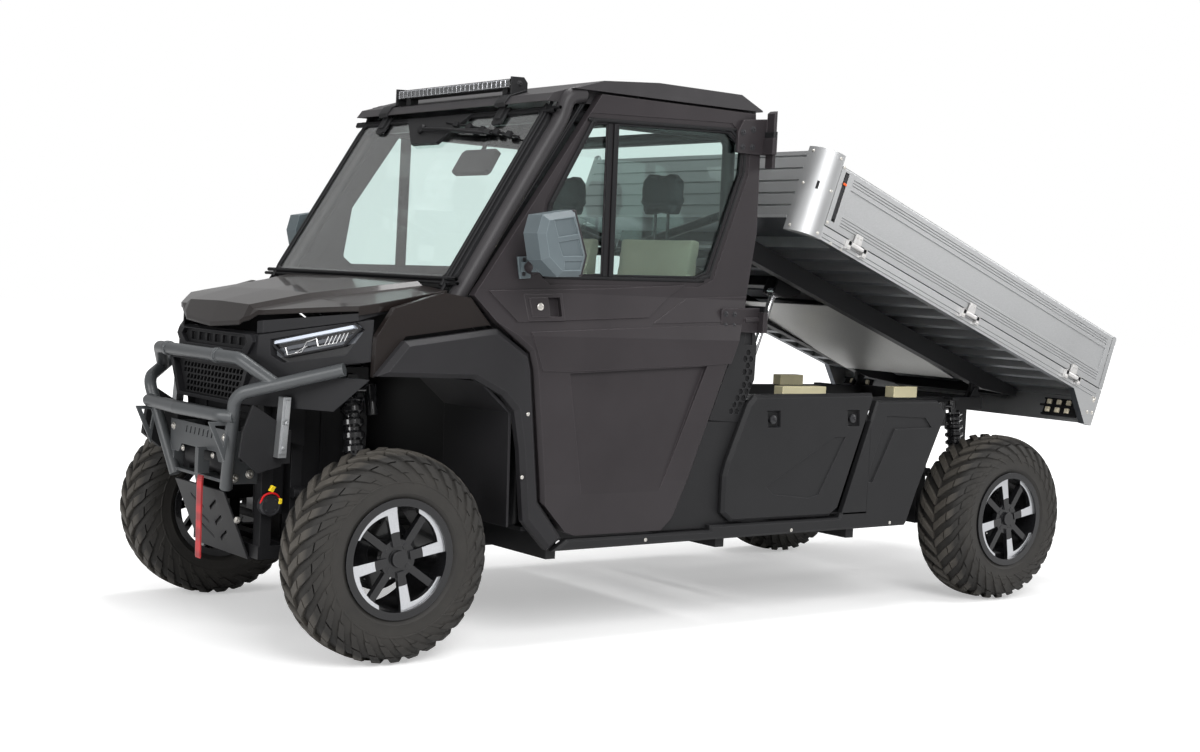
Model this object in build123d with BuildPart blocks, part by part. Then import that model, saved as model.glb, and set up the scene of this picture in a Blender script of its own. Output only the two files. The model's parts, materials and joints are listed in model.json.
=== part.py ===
from build123d import *
import os
from math import atan2, cos, degrees, radians, sin, sqrt

os.makedirs("parts", exist_ok=True)

# ---------------------------------------------------------------------------------------------
# Driving dimensions, millimetres. X points forward, Y to the left, Z up. The origin is on the
# ground below the middle of the vehicle. Lengths called "ahead" are measured forward from the
# front axle, so most of the cab and all of the bed have negative ones.
# ---------------------------------------------------------------------------------------------
front_axle = 1575
wheelbase = 2920
half_track = 652.5
axle_height = 343
running_gap = 6          # air between moving pieces
seat_gap = 0.3           # air between a piece and what carries it
hinge_play = 0.5         # air along a hinge or shaft

# wheels
tyre_radius = 343
lug_height = 14
front_tyre_width = 226
rear_tyre_width = 251
flange_radius = 194
bead_radius = 178
rim_recess = 11          # rim's edge inside the tyre's side
lugs_per_side = 26
disc_radius = 120
hub_radius = 42

# cab
door_thickness = 34
door_bulge = 745         # outer face of the door below the belt
belt_height = 1060
shoulder_height = 1205
window_plane = 703       # outer face of the door at the bottom of its window
roof_plane = 694         # outer face of the door at its top
door_top = 1885
door_bottom = 380
hinge_ahead = -1495
hinge_out = 757
hinge_radius = 9
hinge_levels = [
    # lower and upper end of the door's hinge barrel
    (1740, 1800),
    (1090, 1165),
]
glass_thickness = 5
tube_diameter = 48
cage_out = 618           # axis of the cage's side tubes
cab_rear = -1446
floor_height = 400
rocker_bottom = 332
side_out = 740           # outer face of rocker, box and rear panel

# windscreen
screen_foot_ahead = -213
screen_foot_height = 1229
screen_length = 690
screen_half_width = 611
screen_rake = 31.84      # backwards from vertical

# bed, measured in its own tilted frame
bed_tilt = 19.7
bed_front_ahead = -1763
bed_front_height = 1500
bed_length = 1835
bed_half_width = 760
gate_height = 244
gate_thickness = 25
deck_thickness = 12
side_rail_height = 56
post_height = 280
post_reach = 100         # headboard ahead of the gates
bed_pivot_back = -1502
bed_pivot_below = -155
bed_beam_out = 350
lift_eye_back = -352
lift_eye_below = -150
lift_out = 200
lift_foot_ahead = -1710
lift_foot_height = 352

# ladder frame
rail_low = 278
rail_high = 322
rail_out = 230
upper_low = 765
upper_high = 820
frame_rear = -3165
receiver = 63.5
receiver_bore = 51
receiver_low = 280
receiver_reach = 150     # behind the rails, so that the pin passes behind the tyres
pin_bore = 16
pin_inset = 28           # from the receiver's mouth to its pin

rear_axle = -wheelbase   # ahead of the front axle

# ---------------------------------------------------------------------------------------------
# Planes and helpers
# ---------------------------------------------------------------------------------------------
def side_plane(out):
    """Seen from the left: local x is ahead, local y is height, the normal points right."""
    return Plane(origin=(front_axle, out, 0), x_dir=(1, 0, 0), z_dir=(0, -1, 0))


def cross_plane(ahead):
    """Seen from the front: local x is left, local y is height, the normal points forward."""
    return Plane(origin=(front_axle + ahead, 0, 0), x_dir=(0, 1, 0), z_dir=(1, 0, 0))


def level_plane(height):
    """Seen from above: local x is ahead, local y is left, the normal points up."""
    return Plane(origin=(front_axle, 0, height))


bed_origin = Vector(front_axle + bed_front_ahead, 0, bed_front_height)
tilt = radians(bed_tilt)
bed_floor = Plane(origin=bed_origin, x_dir=(cos(tilt), 0, sin(tilt)), z_dir=(-sin(tilt), 0, cos(tilt)))


def bed_level(above):
    """A plane parallel to the bed floor: local x is forward along it, local y is left."""
    return bed_floor.offset(above)


def bed_side(out):
    """Local x is forward along the bed floor, local y is up from it, the normal points right."""
    return Plane(origin=bed_origin + Vector(0, out, 0), x_dir=bed_floor.x_dir, z_dir=(0, -1, 0))


def bed_cross(forward):
    """Local x is left, local y is up from the bed floor, the normal points forward along it."""
    return Plane(origin=bed_origin + bed_floor.x_dir * forward, x_dir=(0, 1, 0), z_dir=bed_floor.x_dir)


screen = Plane(
    origin=(front_axle + screen_foot_ahead, 0, screen_foot_height),
    x_dir=(0, 1, 0),
    z_dir=(cos(radians(screen_rake)), 0, sin(radians(screen_rake))),
)


def slab(plane, points, thickness, radius=0, taper=0, mode=Mode.ADD):
    """Extrude an outline, drawn on a plane, along the plane's normal. A negative taper widens it."""
    with BuildSketch(plane) as face:
        with BuildLine():
            if radius:
                FilletPolyline(*points, radius=radius, close=True)
            else:
                Polyline(*points, close=True)
        make_face()
    return extrude(face.sketch, amount=thickness, taper=taper, mode=mode)


def shrunk(plane, points, inset, thickness, taper=0, mode=Mode.ADD):
    """Extrude an outline drawn on a plane and moved inwards by an inset."""
    with BuildSketch(plane) as face:
        with BuildLine():
            Polyline(*points, close=True)
        make_face()
        offset(amount=-inset, kind=Kind.INTERSECTION)
    return extrude(face.sketch, amount=thickness, taper=taper, mode=mode)


def block(ahead, out, height, mode=Mode.ADD):
    """A box from three (low, high) pairs."""
    (a0, a1), (y0, y1), (z0, z1) = ahead, out, height
    return slab(level_plane(z0), [(a0, y0), (a1, y0), (a1, y1), (a0, y1)], z1 - z0, mode=mode)


def rod(start, end, diameter, mode=Mode.ADD):
    """A round bar between two points given as (ahead, left, height)."""
    p = Vector(*start) + Vector(front_axle, 0, 0)
    q = Vector(*end) + Vector(front_axle, 0, 0)
    with BuildSketch(Plane(origin=p, z_dir=q - p)) as face:
        Circle(diameter / 2)
    return extrude(face.sketch, amount=(q - p).length, mode=mode)


def tube(points, diameter, bend, mode=Mode.ADD):
    """A bent round tube through points given as (ahead, left, height)."""
    moved = [Vector(*p) + Vector(front_axle, 0, 0) for p in points]
    with BuildLine() as path:
        FilletPolyline(*moved, radius=bend)
    with BuildSketch(Plane(origin=moved[0], z_dir=moved[1] - moved[0])) as face:
        Circle(diameter / 2)
    return sweep(face.sketch, path=path.line, mode=mode)


def ring(centre, outer, inner, y0, y1, mode=Mode.ADD):
    """A disc or ring about a sideways axis through (ahead, height), from y0 to y1."""
    plane = side_plane(y1)
    with BuildSketch(plane) as face:
        with Locations(centre):
            Circle(outer)
            if inner:
                Circle(inner, mode=Mode.SUBTRACT)
    return extrude(face.sketch, amount=y1 - y0, mode=mode)


def save(piece, name):
    piece.part.label = name
    export_step(piece.part, f"parts/{name}.step")


def save_pair(piece, name, twin):
    """Write a piece of the left side and its mirror image on the right."""
    save(piece, name)
    with BuildPart() as other:
        mirror(piece.part, about=Plane.XZ)
    save(other, twin)


def polar(radius, angle):
    return (radius * cos(radians(angle)), radius * sin(radians(angle)))


# ---------------------------------------------------------------------------------------------
# Wheels
# ---------------------------------------------------------------------------------------------
wheel_places = [
    # left name, right name, ahead, tyre width
    ("fl", "fr", 0, front_tyre_width),
    ("rl", "rr", rear_axle, rear_tyre_width),
]
carcass_radius = tyre_radius - lug_height
lug_width = 50
lug_slant = 30           # degrees between a lug and straight across
lug_root = 24            # how far a lug reaches down from the crown
shoulder = 16            # the lugs' bevel at the tyre's edge
hook_spokes = 4
hook_start = 10          # degrees from forward to the first wide spoke
hook_turn = 58           # degrees along the rim that each wide spoke's hook covers
face_inset = 10          # spoke faces inside the rim's edge
spoke_depth = 18


def wheel_plane(ahead):
    """Local z points out of the left wheel's outer face, on its axis, at the tyre's middle."""
    return Plane(origin=(front_axle + ahead, half_track, axle_height), x_dir=(1, 0, 0), z_dir=(0, 1, 0))


for name, twin, ahead, width in wheel_places:
    middle = wheel_plane(ahead)
    spin = Axis(middle.origin, middle.z_dir)
    half = width / 2
    rim_half = half - rim_recess
    profile_plane = Plane(origin=middle.origin, x_dir=middle.z_dir, z_dir=(-1, 0, 0))
    with BuildPart() as tread:
        for row in (-1, 1):
            reach = half - 4
            shift = (reach - 5) * sin(radians(lug_slant)) / cos(radians(lug_slant))
            for lug in range(lugs_per_side):
                angle = radians((lug + (row + 1) / 4) * 360 / lugs_per_side)
                up = Vector(cos(angle), 0, sin(angle))
                base = Plane(origin=middle.origin + up * (tyre_radius - lug_root), x_dir=(0, row, 0), z_dir=up)
                slab(base, [(5, -lug_width / 2), (reach, -lug_width / 2 + row * shift),
                     (reach, lug_width / 2 + row * shift), (5, lug_width / 2)], lug_root + 12)
        with BuildSketch(profile_plane):
            with BuildLine():
                Polyline((-half, 200), (-half, tyre_radius - shoulder - 12), (-half + 26, tyre_radius - 3),
                         (-half + 60, tyre_radius), (half - 60, tyre_radius), (half - 26, tyre_radius - 3),
                         (half, tyre_radius - shoulder - 12), (half, 200), close=True)
            make_face()
        revolve(axis=spin, mode=Mode.INTERSECT)
    with BuildPart() as tyre:
        with BuildSketch(profile_plane):
            with BuildLine():
                Polyline(
                    (-rim_half + 14, bead_radius),
                    (-rim_half + 9, flange_radius + 1),
                    (-half + 7, bead_radius + 34),
                    (-half + 4, bead_radius + 82),
                    (-half + 16, carcass_radius - 22),
                    (-half + 42, carcass_radius),
                    (half - 42, carcass_radius),
                    (half - 16, carcass_radius - 22),
                    (half - 4, bead_radius + 82),
                    (half - 7, bead_radius + 34),
                    (rim_half - 9, flange_radius + 1),
                    (rim_half - 14, bead_radius),
                    close=True,
                )
            make_face()
        revolve(axis=spin)
        add(tread.part)
    save_pair(tyre, f"tyre_{name}", f"tyre_{twin}")

    with BuildPart() as rim:
        with BuildSketch(profile_plane):
            with BuildLine():
                Polyline(
                    (-rim_half, bead_radius - 8),
                    (-rim_half, flange_radius),
                    (-rim_half + 8, flange_radius),
                    (-rim_half + 13, bead_radius - 1),
                    (rim_half - 13, bead_radius - 1),
                    (rim_half - 8, flange_radius),
                    (rim_half, flange_radius),
                    (rim_half, bead_radius - 8),
                    close=True,
                )
            make_face()
        revolve(axis=spin)
        with BuildSketch(middle.offset(rim_half - face_inset - spoke_depth)) as hooks:
            for spoke in range(hook_spokes):
                start = hook_start + spoke * 360 / hook_spokes
                end = start + hook_turn
                with BuildLine():
                    Polyline(polar(44, start - 16), polar(150, start - 5), polar(bead_radius - 5, start - 5))
                    ThreePointArc(polar(bead_radius - 5, start - 5), polar(bead_radius - 5, (start + end) / 2),
                                  polar(bead_radius - 5, end))
                    Line(polar(bead_radius - 5, end), polar(bead_radius - 20, end - 3))
                    ThreePointArc(polar(bead_radius - 20, end - 3), polar(bead_radius - 24, (start + end) / 2),
                                  polar(bead_radius - 30, start + 9))
                    Polyline(polar(bead_radius - 30, start + 9), polar(44, start + 20), polar(44, start - 16))
                make_face()
        extrude(hooks.sketch, amount=spoke_depth)
        with BuildSketch(middle.offset(rim_half - face_inset - spoke_depth - 14)) as spokes:
            Circle(62)
            with PolarLocations(110, hook_spokes, start_angle=hook_start + 180 / hook_spokes):
                Rectangle(130, 24)
        extrude(spokes.sketch, amount=spoke_depth + 6)
        with BuildSketch(middle.offset(-45)) as disc:
            Circle(disc_radius)
            with PolarLocations(disc_radius - 22, 12):
                Circle(5, mode=Mode.SUBTRACT)
        extrude(disc.sketch, amount=6)
        with BuildSketch(middle.offset(-45)) as hub_barrel:
            Circle(hub_radius)
        extrude(hub_barrel.sketch, amount=rim_half - 34 + 45)
        with BuildSketch(middle.offset(rim_half - 30)) as cap:
            Circle(30)
        extrude(cap.sketch, amount=26, taper=8)
        with BuildSketch(middle.offset(rim_half - 30)) as nuts:
            with PolarLocations(46, 4, start_angle=hook_start + 45):
                RegularPolygon(11, 6)
        extrude(nuts.sketch, amount=14)
    save_pair(rim, f"rim_{name}", f"rim_{twin}")

# ---------------------------------------------------------------------------------------------
# Axles: knuckles, arms, dampers
# ---------------------------------------------------------------------------------------------
kingpin_out = 560
knuckle_low = 250
knuckle_high = 436
disc_inner_face = half_track - 45


def knuckle_at(ahead, side):
    """An upright on the kingpin with its hub carrier and brake caliper."""
    block((ahead - 26, ahead + 26), sorted((side * (kingpin_out - 24), side * (kingpin_out + 20))),
          (knuckle_low + 6, knuckle_high - 6))
    with BuildSketch(level_plane(knuckle_low)) as stub:
        with Locations((ahead, side * kingpin_out)):
            Circle(16)
    extrude(stub.sketch, amount=knuckle_high - knuckle_low)
    reach = sorted((side * kingpin_out, side * (disc_inner_face - hinge_play)))
    ring((ahead, axle_height), hub_radius, 0, *reach)
    caliper = sorted((side * (disc_inner_face - 26), side * (disc_inner_face - 3)))
    block((ahead - 128, ahead - 20), caliper, (axle_height + 20, axle_height + 84))


with BuildPart() as knuckle_left:
    knuckle_at(0, 1)
save(knuckle_left, "knuckle_left")

with BuildPart() as knuckle_right:
    knuckle_at(0, -1)
save(knuckle_right, "knuckle_right")

with BuildPart() as rear_knuckles:
    for side in (1, -1):
        knuckle_at(rear_axle, side)
save(rear_knuckles, "rear_knuckles")

bush_radius = 18
ball_height = 26
ball_middle = ball_height / 2 + running_gap / 15
arm_diameter = 22
upper_arm_height = 500
arm_spread = 120         # half the distance between an arm's two bushes
arm_table = [
    # axle ahead, face of the frame that carries it, inner height, ball joint's height, arm above it
    (0, rail_out + 25, rail_low + 22, knuckle_low - ball_middle, -4),
    (0, rail_out + 25, upper_arm_height, knuckle_high + ball_middle, 4),
    (rear_axle, bed_beam_out + 25, rail_low + 22, knuckle_low - ball_middle, -4),
    (rear_axle, bed_beam_out + 25, upper_arm_height, knuckle_high + ball_middle, 4),
]
damper_foot_out = 465
with BuildPart() as suspension_arms:
    for ahead, frame_face, low, high, above in arm_table:
        for side in (1, -1):
            inner = side * (frame_face + bush_radius + seat_gap)
            joint = (ahead, side * (kingpin_out - 10), high + above)
            for end in (-arm_spread, arm_spread):
                rod((ahead + end, inner, low), joint, arm_diameter)
                rod((ahead + end - 22, inner, low), (ahead + end + 22, inner, low), 2 * bush_radius)
            with BuildSketch(level_plane(high - ball_height / 2)) as ball:
                with Locations((ahead, side * (kingpin_out - 6))):
                    Circle(24)
            extrude(ball.sketch, amount=ball_height)
    for ahead, frame_face, low, high, above in arm_table[1::2]:
        for side in (1, -1):
            inner = frame_face + bush_radius + seat_gap
            share = (damper_foot_out - inner) / (kingpin_out - 10 - inner)
            height = low + (high - low) * share
            rod((ahead - arm_spread * (1 - share), side * damper_foot_out, height),
                (ahead + arm_spread * (1 - share), side * damper_foot_out, height), arm_diameter)
save(suspension_arms, "suspension_arms")

def damper_seat(frame_face):
    """Height of the upper arm's cross bar, where the damper stands."""
    inner = frame_face + bush_radius + seat_gap
    share = (damper_foot_out - inner) / (kingpin_out - 10 - inner)
    return upper_arm_height + (knuckle_high + ball_middle - upper_arm_height) * share + arm_diameter / 2 + 4.2


front_tower = 880
rear_tower = 812
damper_table = [
    # ahead, foot out, foot height, head ahead, head out, head height
    (0, damper_foot_out, damper_seat(rail_out + 25), 0, 380, front_tower - 4.2),
    (rear_axle, damper_foot_out, damper_seat(bed_beam_out + 25), rear_axle - 10, 405, rear_tower - 4.2),
]
coil_count = 7
coil_outer = 39
coil_inner = 28
with BuildPart() as shocks:
    for ahead, foot_out, foot, head_ahead, head_out, head in damper_table:
        for side in (1, -1):
            start = Vector(ahead, side * foot_out, foot)
            stop = Vector(head_ahead, side * head_out, head)
            along = (stop - start).normalized()
            across = Vector(0, 1, 0).cross(along).normalized()
            rod(tuple(start), tuple(stop), 34)
            spring_low, spring_high = 34, (stop - start).length - 62
            pitch = (spring_high - spring_low) / coil_count
            profile = [(15, spring_low - 6), (coil_outer + 3, spring_low - 6), (coil_outer + 3, spring_low)]
            for coil in range(coil_count):
                level = spring_low + coil * pitch
                profile += [(coil_inner, level), (coil_outer, level + pitch * 0.2), (coil_outer, level + pitch * 0.55),
                            (coil_inner, level + pitch * 0.75)]
            profile += [(coil_outer + 3, spring_high), (coil_outer + 3, spring_high + 8), (15, spring_high + 8)]
            lower_eye = Vector(front_axle, 0, 0) + start
            with BuildSketch(Plane(origin=lower_eye, x_dir=across, z_dir=across.cross(along))) as spring:
                with BuildLine():
                    Polyline(*profile, close=True)
                make_face()
            revolve(spring.sketch, axis=Axis(lower_eye, along))
            # reservoir beside the head
            beside = 74 if ahead == 0 else -74
            rod(tuple(stop - along * 24), tuple(stop - along * 24 + Vector(-beside, 0, 0)), 20)
            rod(tuple(stop - along * 110 + Vector(-beside, 0, 0)), tuple(stop - along * 8 + Vector(-beside, 0, 0)), 44)
save(shocks, "shocks")

# ---------------------------------------------------------------------------------------------
# Chassis
# ---------------------------------------------------------------------------------------------
cross_members = [
    # ahead, half width, low, high
    (225, rail_out + 25, rail_low, rail_high),
    (arm_spread, rail_out, rail_low, rail_high),
    (-arm_spread, rail_out, rail_low, rail_high),
    (-2200, rail_out, rail_high - 4, 370 - seat_gap),
    (-1775, bed_beam_out + 25, rail_low, rail_high),
    (rear_axle + arm_spread, bed_beam_out + 25, rail_low, rail_high),
    (rear_axle - arm_spread, bed_beam_out + 25, rail_low, rail_high),
    (-1600, bed_beam_out - 25, upper_low, upper_high),
    (-3140, bed_beam_out - 25, upper_low, upper_high),
    (40, rail_out - 10, 880, 918),
]
pivot = bed_origin + bed_floor.x_dir * bed_pivot_back + bed_floor.z_dir * bed_pivot_below
pivot_ahead = pivot.X - front_axle
pivot_height = pivot.Z

with BuildPart() as frame:
    for side in (1, -1):
        lower = sorted((side * (rail_out - 25), side * (rail_out + 25)))
        upper = sorted((side * (bed_beam_out - 25), side * (bed_beam_out + 25)))
        block((frame_rear, 250), lower, (rail_low, rail_high))
        block((frame_rear, -1560), upper, (upper_low, upper_high))
        for ahead in (-1775, rear_axle + arm_spread, rear_axle - arm_spread):
            block((ahead - 25, ahead + 25), upper, (rail_high, upper_low))
        for ahead in (-620, -1380, -2050):
            block((ahead - 20, ahead + 20), sorted((side * rail_out, side * (side_out - 40))),
                  (rail_low + 22, floor_height - seat_gap))
        for ahead in (225, arm_spread, -arm_spread):
            block((ahead - 20, ahead + 20), lower, (rail_high, 880))
        block((-140, 245), lower, (880, 920))
        block((-20, 20), sorted((side * (rail_out + 25), side * 400)), (front_tower, front_tower + 25))
        block((200, 284), lower, (916, 944))
        block((rear_axle - 30, rear_axle + 10), sorted((side * bed_beam_out, side * 428)), (rear_tower, rear_tower + 12))
        for gap in (-13.5, 13.5):
            slab(side_plane(side * bed_beam_out + gap + 4), [(pivot_ahead - 34, upper_high),
                 (pivot_ahead + 34, upper_high), (pivot_ahead + 10, pivot_height + 12),
                 (pivot_ahead - 10, pivot_height + 12)], 8)
    for ahead, half_width, low, high in cross_members:
        block((ahead - 25, ahead + 25), (-half_width, half_width), (low, high))
    # ears for the lift's foot
    for gap in (-28, 20):
        block((-1752, lift_foot_ahead + 22), (lift_out + gap, lift_out + gap + 8),
              (rail_low + 8, lift_foot_height + 16))
    # square receiver with its pin bore
    block((frame_rear - receiver_reach, rear_axle - arm_spread), (-receiver / 2, receiver / 2),
          (receiver_low, receiver_low + receiver))
    block((frame_rear - receiver_reach - 1, frame_rear), (-receiver_bore / 2, receiver_bore / 2),
          (receiver_low + (receiver - receiver_bore) / 2, receiver_low + (receiver + receiver_bore) / 2),
          mode=Mode.SUBTRACT)
    ring((frame_rear - receiver_reach + pin_inset, receiver_low + receiver / 2), pin_bore / 2, 0, -40, 40,
         mode=Mode.SUBTRACT)
save(frame, "frame")

with BuildPart() as skid_plate:
    slab(side_plane(196), [(352, 500), (257, 271), (-700, 271), (-700, rail_low - seat_gap),
         (252, rail_low - seat_gap), (346, 502)], 392)
    for row in range(3):
        for col in (-1, 1):
            slab(level_plane(200), [(272 + row * 22, col * 26), (278 + row * 22, col * 26), (292 + row * 22, col * 100),
                 (286 + row * 22, col * 100)], 400, mode=Mode.SUBTRACT)
save(skid_plate, "skid_plate")

with BuildPart() as engine:
    block((-2420, -1880), (-205, 130), (370, 730))
save(engine, "engine")

diff_half = arm_spread - 25 - seat_gap
with BuildPart() as drive_shafts:
    for ahead in (0, rear_axle):
        block((ahead - diff_half, ahead + diff_half), (-95, 95), (axle_height - 60, axle_height + 60))
        for side in (1, -1):
            end = kingpin_out - 37 if ahead == 0 else kingpin_out - 24 - seat_gap
            rod((ahead, side * 95, axle_height), (ahead, side * end, axle_height), 28)
    rod((-1880 + seat_gap, 0, 385), (-diff_half, 0, 362), 40)
save(drive_shafts, "drive_shafts")

rest_pad_table = [
    # ahead low, ahead high
    (-2200, -1960),
    (-2740, -2600),
]
rest_pad_height = 45
with BuildPart() as rest_pads:
    for low, high in rest_pad_table:
        for side in (1, -1):
            block((low, high), sorted((side * (bed_beam_out - 25), side * (bed_beam_out + 25))),
                  (upper_high, upper_high + rest_pad_height))
save(rest_pads, "rest_pads")

# ---------------------------------------------------------------------------------------------
# Front end
# ---------------------------------------------------------------------------------------------
bumper_tube = 42
with BuildPart() as bumper:
    for side in (1, -1):
        tube([(347, side * 203, 514), (397, side * 352, 835), (150, side * 612, 934)], bumper_tube, 70)
        slab(side_plane(side * 300 + 3), [(462, 742), (384, 742), (403, 612)], 6)
        slab(side_plane(side * 300 + 3), [(440, 730), (396, 730), (408, 660)], 6, mode=Mode.SUBTRACT)
    tube([(302, 450, 873), (372, 322, 948), (392, 190, 950), (392, -190, 950), (372, -322, 948),
          (302, -450, 873)], bumper_tube, 60)
    tube([(388, 330, 762), (420, 290, 762), (440, 0, 762), (420, -290, 762), (388, -330, 762)], bumper_tube, 40)
    slab(level_plane(764), [(395, 330), (425, 285), (440, 0), (425, -285), (395, -330), (352, -300), (352, 300)], 6)
    block((352, 358), (-232, 232), (596, 705))
    for side in (1, -1):
        block((245 + seat_gap, 356), sorted((side * 205, side * 225)), (528, 700))
    block((250, 352), (-205, 205), (528, 538))
    block((350, 392), (52, 76), (548, 634))
    for side in (1, -1):
        rod((392, side * 188, 950), (392, side * 208, 950), bumper_tube + 8)
    for slot in range(-3, 4):
        slab(cross_plane(350), [(slot * 34 - 8, 668), (slot * 34 + 2, 668), (slot * 34 + 10, 692), (slot * 34, 692)],
             20, mode=Mode.SUBTRACT)
        slab(level_plane(760), [(372, slot * 76 - 24), (382, slot * 76 - 24), (382, slot * 76 + 24),
             (372, slot * 76 + 24)], 20, mode=Mode.SUBTRACT)
    slab(cross_plane(350), [(-165, 590), (165, 590), (140, 626), (-140, 626)], 20, mode=Mode.SUBTRACT)
save(bumper, "bumper")

with BuildPart() as winch:
    ring((292, 590), 48, 0, -150, 150)
    block((262, 322), (-200, -150), (538 + seat_gap, 640))
    block((262, 322), (150, 200), (538 + seat_gap, 640))
save(winch, "winch")

with BuildPart() as winch_strap:
    block((371, 375), (44, 84), (262, 548 - seat_gap))
save(winch_strap, "winch_strap")

nose_sections = [
    # height, half outline as (ahead, out) from the centre to the side
    (795, [(336, 0), (332, 250), (170, 520), (150, 552)]),
    (905, [(318, 0), (310, 300), (100, 640), (86, 664)]),
    (1120, [(304, 0), (298, 326), (100, 655), (86, 676)]),
]
nose_wall = 24
lens_outline = [(352, 962), (392, 940), (590, 978), (648, 1062), (622, 1082), (350, 1012)]
grille_outline = [(-288, 915), (-225, 800), (225, 800), (288, 915)]
intake_outline = [(-225, 972), (-262, 1000), (-240, 1020), (240, 1020), (262, 1000), (225, 972)]
collar_outline = [(-262, 958), (-300, 1000), (-276, 1034), (276, 1034), (300, 1000), (262, 958)]

with BuildPart() as fascia:
    for shrink, mode in ((0, Mode.ADD), (nose_wall, Mode.SUBTRACT)):
        for (low, lower_half), (high, upper_half) in zip(nose_sections, nose_sections[1:]):
            faces = []
            for level, half in ((low, lower_half), (high, upper_half)):
                left = [(a - shrink, y - shrink if y else 0) for a, y in half]
                if shrink:
                    left[-1] = (-60, left[-1][1])
                right = [(a, -y) for a, y in reversed(left) if y]
                with BuildSketch(level_plane(level)) as face:
                    Polygon(*left, *right, align=None)
                faces.append(face.sketch)
            loft(faces, mode=mode)
    # a collar stands proud round the upper intake and a frame round the grille
    slab(cross_plane(290), collar_outline, 28)
    slab(cross_plane(290), [(-318, 930), (-240, 788), (240, 788), (318, 930)], 46)
    # the top edge rises towards the windscreen
    slab(side_plane(800), [(500, 1012), (304, 1024), (104, 1090), (-100, 1154), (-100, 1300), (500, 1300)], 1600,
         mode=Mode.SUBTRACT)
    slab(cross_plane(200), intake_outline, 200, mode=Mode.SUBTRACT)
    slab(cross_plane(200), grille_outline, 200, mode=Mode.SUBTRACT)
    for side in (1, -1):
        slab(cross_plane(-60), [(side * y, z) for y, z in lens_outline], 420, mode=Mode.SUBTRACT)
        # crease below the lamp: the lower corner of the panel falls back
        slab(cross_plane(60), [(side * 330, 905), (side * 700, 968), (side * 700, 905)], 90, mode=Mode.SUBTRACT)
save(fascia, "fascia")

slot_rows = 5
slot_pitch = 21
slot_lean = 9            # how far a slot leans sideways over its height
intake_slots = 7
with BuildPart() as grille:
    with BuildSketch(cross_plane(304)) as face:
        with BuildLine():
            Polyline(*grille_outline, close=True)
        make_face()
        offset(amount=-seat_gap)
    extrude(face.sketch, amount=8)
    for row in range(slot_rows):
        low = 805 + row * slot_pitch
        reach = int((225 + (low - 800) * 0.5) / 28)
        for col in range(-reach, reach):
            start = col * 28 + 4
            slab(cross_plane(300), [(start, low), (start + 20, low), (start + 20 + slot_lean, low + 15),
                 (start + slot_lean, low + 15)], 20, mode=Mode.SUBTRACT)
    with BuildSketch(cross_plane(286)) as insert:
        with BuildLine():
            Polyline(*intake_outline, close=True)
        make_face()
        offset(amount=-seat_gap)
    extrude(insert.sketch, amount=16)
    slot_step = 440 / intake_slots
    for slot in range(intake_slots):
        start = -220 + slot * slot_step
        slab(cross_plane(292), [(start + 5, 982), (start + slot_step - 8, 982), (start + slot_step - 5, 1010),
             (start + 8, 1010)], 20, mode=Mode.SUBTRACT)
save(grille, "grille")

with BuildPart() as headlamps:
    for side in (1, -1):
        with BuildSketch(cross_plane(-60)) as face:
            with BuildLine():
                Polyline(*[(side * y, z) for y, z in lens_outline], close=True)
            make_face()
            offset(amount=-seat_gap)
        extrude(face.sketch, amount=420)
    with BuildSketch(level_plane(900)) as band:
        for side in (1, -1):
            with BuildLine():
                Polyline(*[(a, side * y) for a, y in ((268, 330), (92, 660), (62, 660), (238, 330))], close=True)
            make_face()
    extrude(band.sketch, amount=250, mode=Mode.INTERSECT)
    for side in (1, -1):
        # the running light along the top and the three fins of the low beam below it
        for first, second, low, high in ((352, 618, -16, -4), (392, 590, -62, -50), (400, 600, -44, -32)):
            with BuildSketch(cross_plane(-60)) as fin:
                with BuildLine():
                    slope = (1082 - 1012) / (622 - 350)
                    Polyline(*[(side * y, 1012 + (y - 350) * slope + drop) for y, drop in
                               ((first, low), (second, low), (second, high), (first, high))], close=True)
                make_face()
            fins = extrude(fin.sketch, amount=420, mode=Mode.PRIVATE)
            with BuildSketch(level_plane(900)) as front:
                with BuildLine():
                    Polyline(*[(a, side * y) for a, y in ((282, 330), (106, 660), (70, 660), (246, 330))],
                             close=True)
                make_face()
            add(fins & extrude(front.sketch, amount=250, mode=Mode.PRIVATE))
save(headlamps, "headlamps")

hood_rows = [
    # ahead, crown height, panel out, panel height, crease out, crease height, edge height
    (332, 1052, 225, 1050, 252, 1044, 1036),
    (302, 1124, 232, 1120, 264, 1106, 1094),
    (120, 1170, 300, 1166, 338, 1150, 1136),
    (-190, 1226, 470, 1222, 500, 1208, 1197),
]
hood_half = 655
hood_thickness = 16
hood_plan = [(332, 0), (325, 210), (297, 322), (122, 640), (60, hood_half), (-190, hood_half)]
hood_hinge_ahead = -200
hood_hinge_height = 1214
with BuildPart() as hood:
    for drop, mode in ((0, Mode.ADD), (hood_thickness, Mode.SUBTRACT)):
        for first, second in zip(hood_rows, hood_rows[1:]):
            faces = []
            for ahead, crown, panel_out, panel, crease_out, crease, edge in (first, second):
                left = [(0, crown - drop), (panel_out, panel - drop), (crease_out, crease - drop),
                        (hood_half - drop, edge - drop)]
                foot = edge - 30 - drop
                loop = left + [(hood_half - drop, foot), (drop - hood_half, foot)]
                loop += [(-y, z) for y, z in reversed(left) if y]
                with BuildSketch(cross_plane(ahead)) as face:
                    Polygon(*loop, align=None)
                faces.append(face.sketch)
            loft(faces, mode=mode)
    slab(level_plane(900), hood_plan + [(a, -y) for a, y in reversed(hood_plan[1:])], 500, mode=Mode.INTERSECT)
    for side in (1, -1):
        rod((hood_hinge_ahead, side * 280, hood_hinge_height), (hood_hinge_ahead, side * 320, hood_hinge_height), 10)
        block((hood_hinge_ahead, -188), sorted((side * 280, side * 320)), (hood_hinge_height - 5, hood_hinge_height + 5))
save(hood, "hood")

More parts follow.
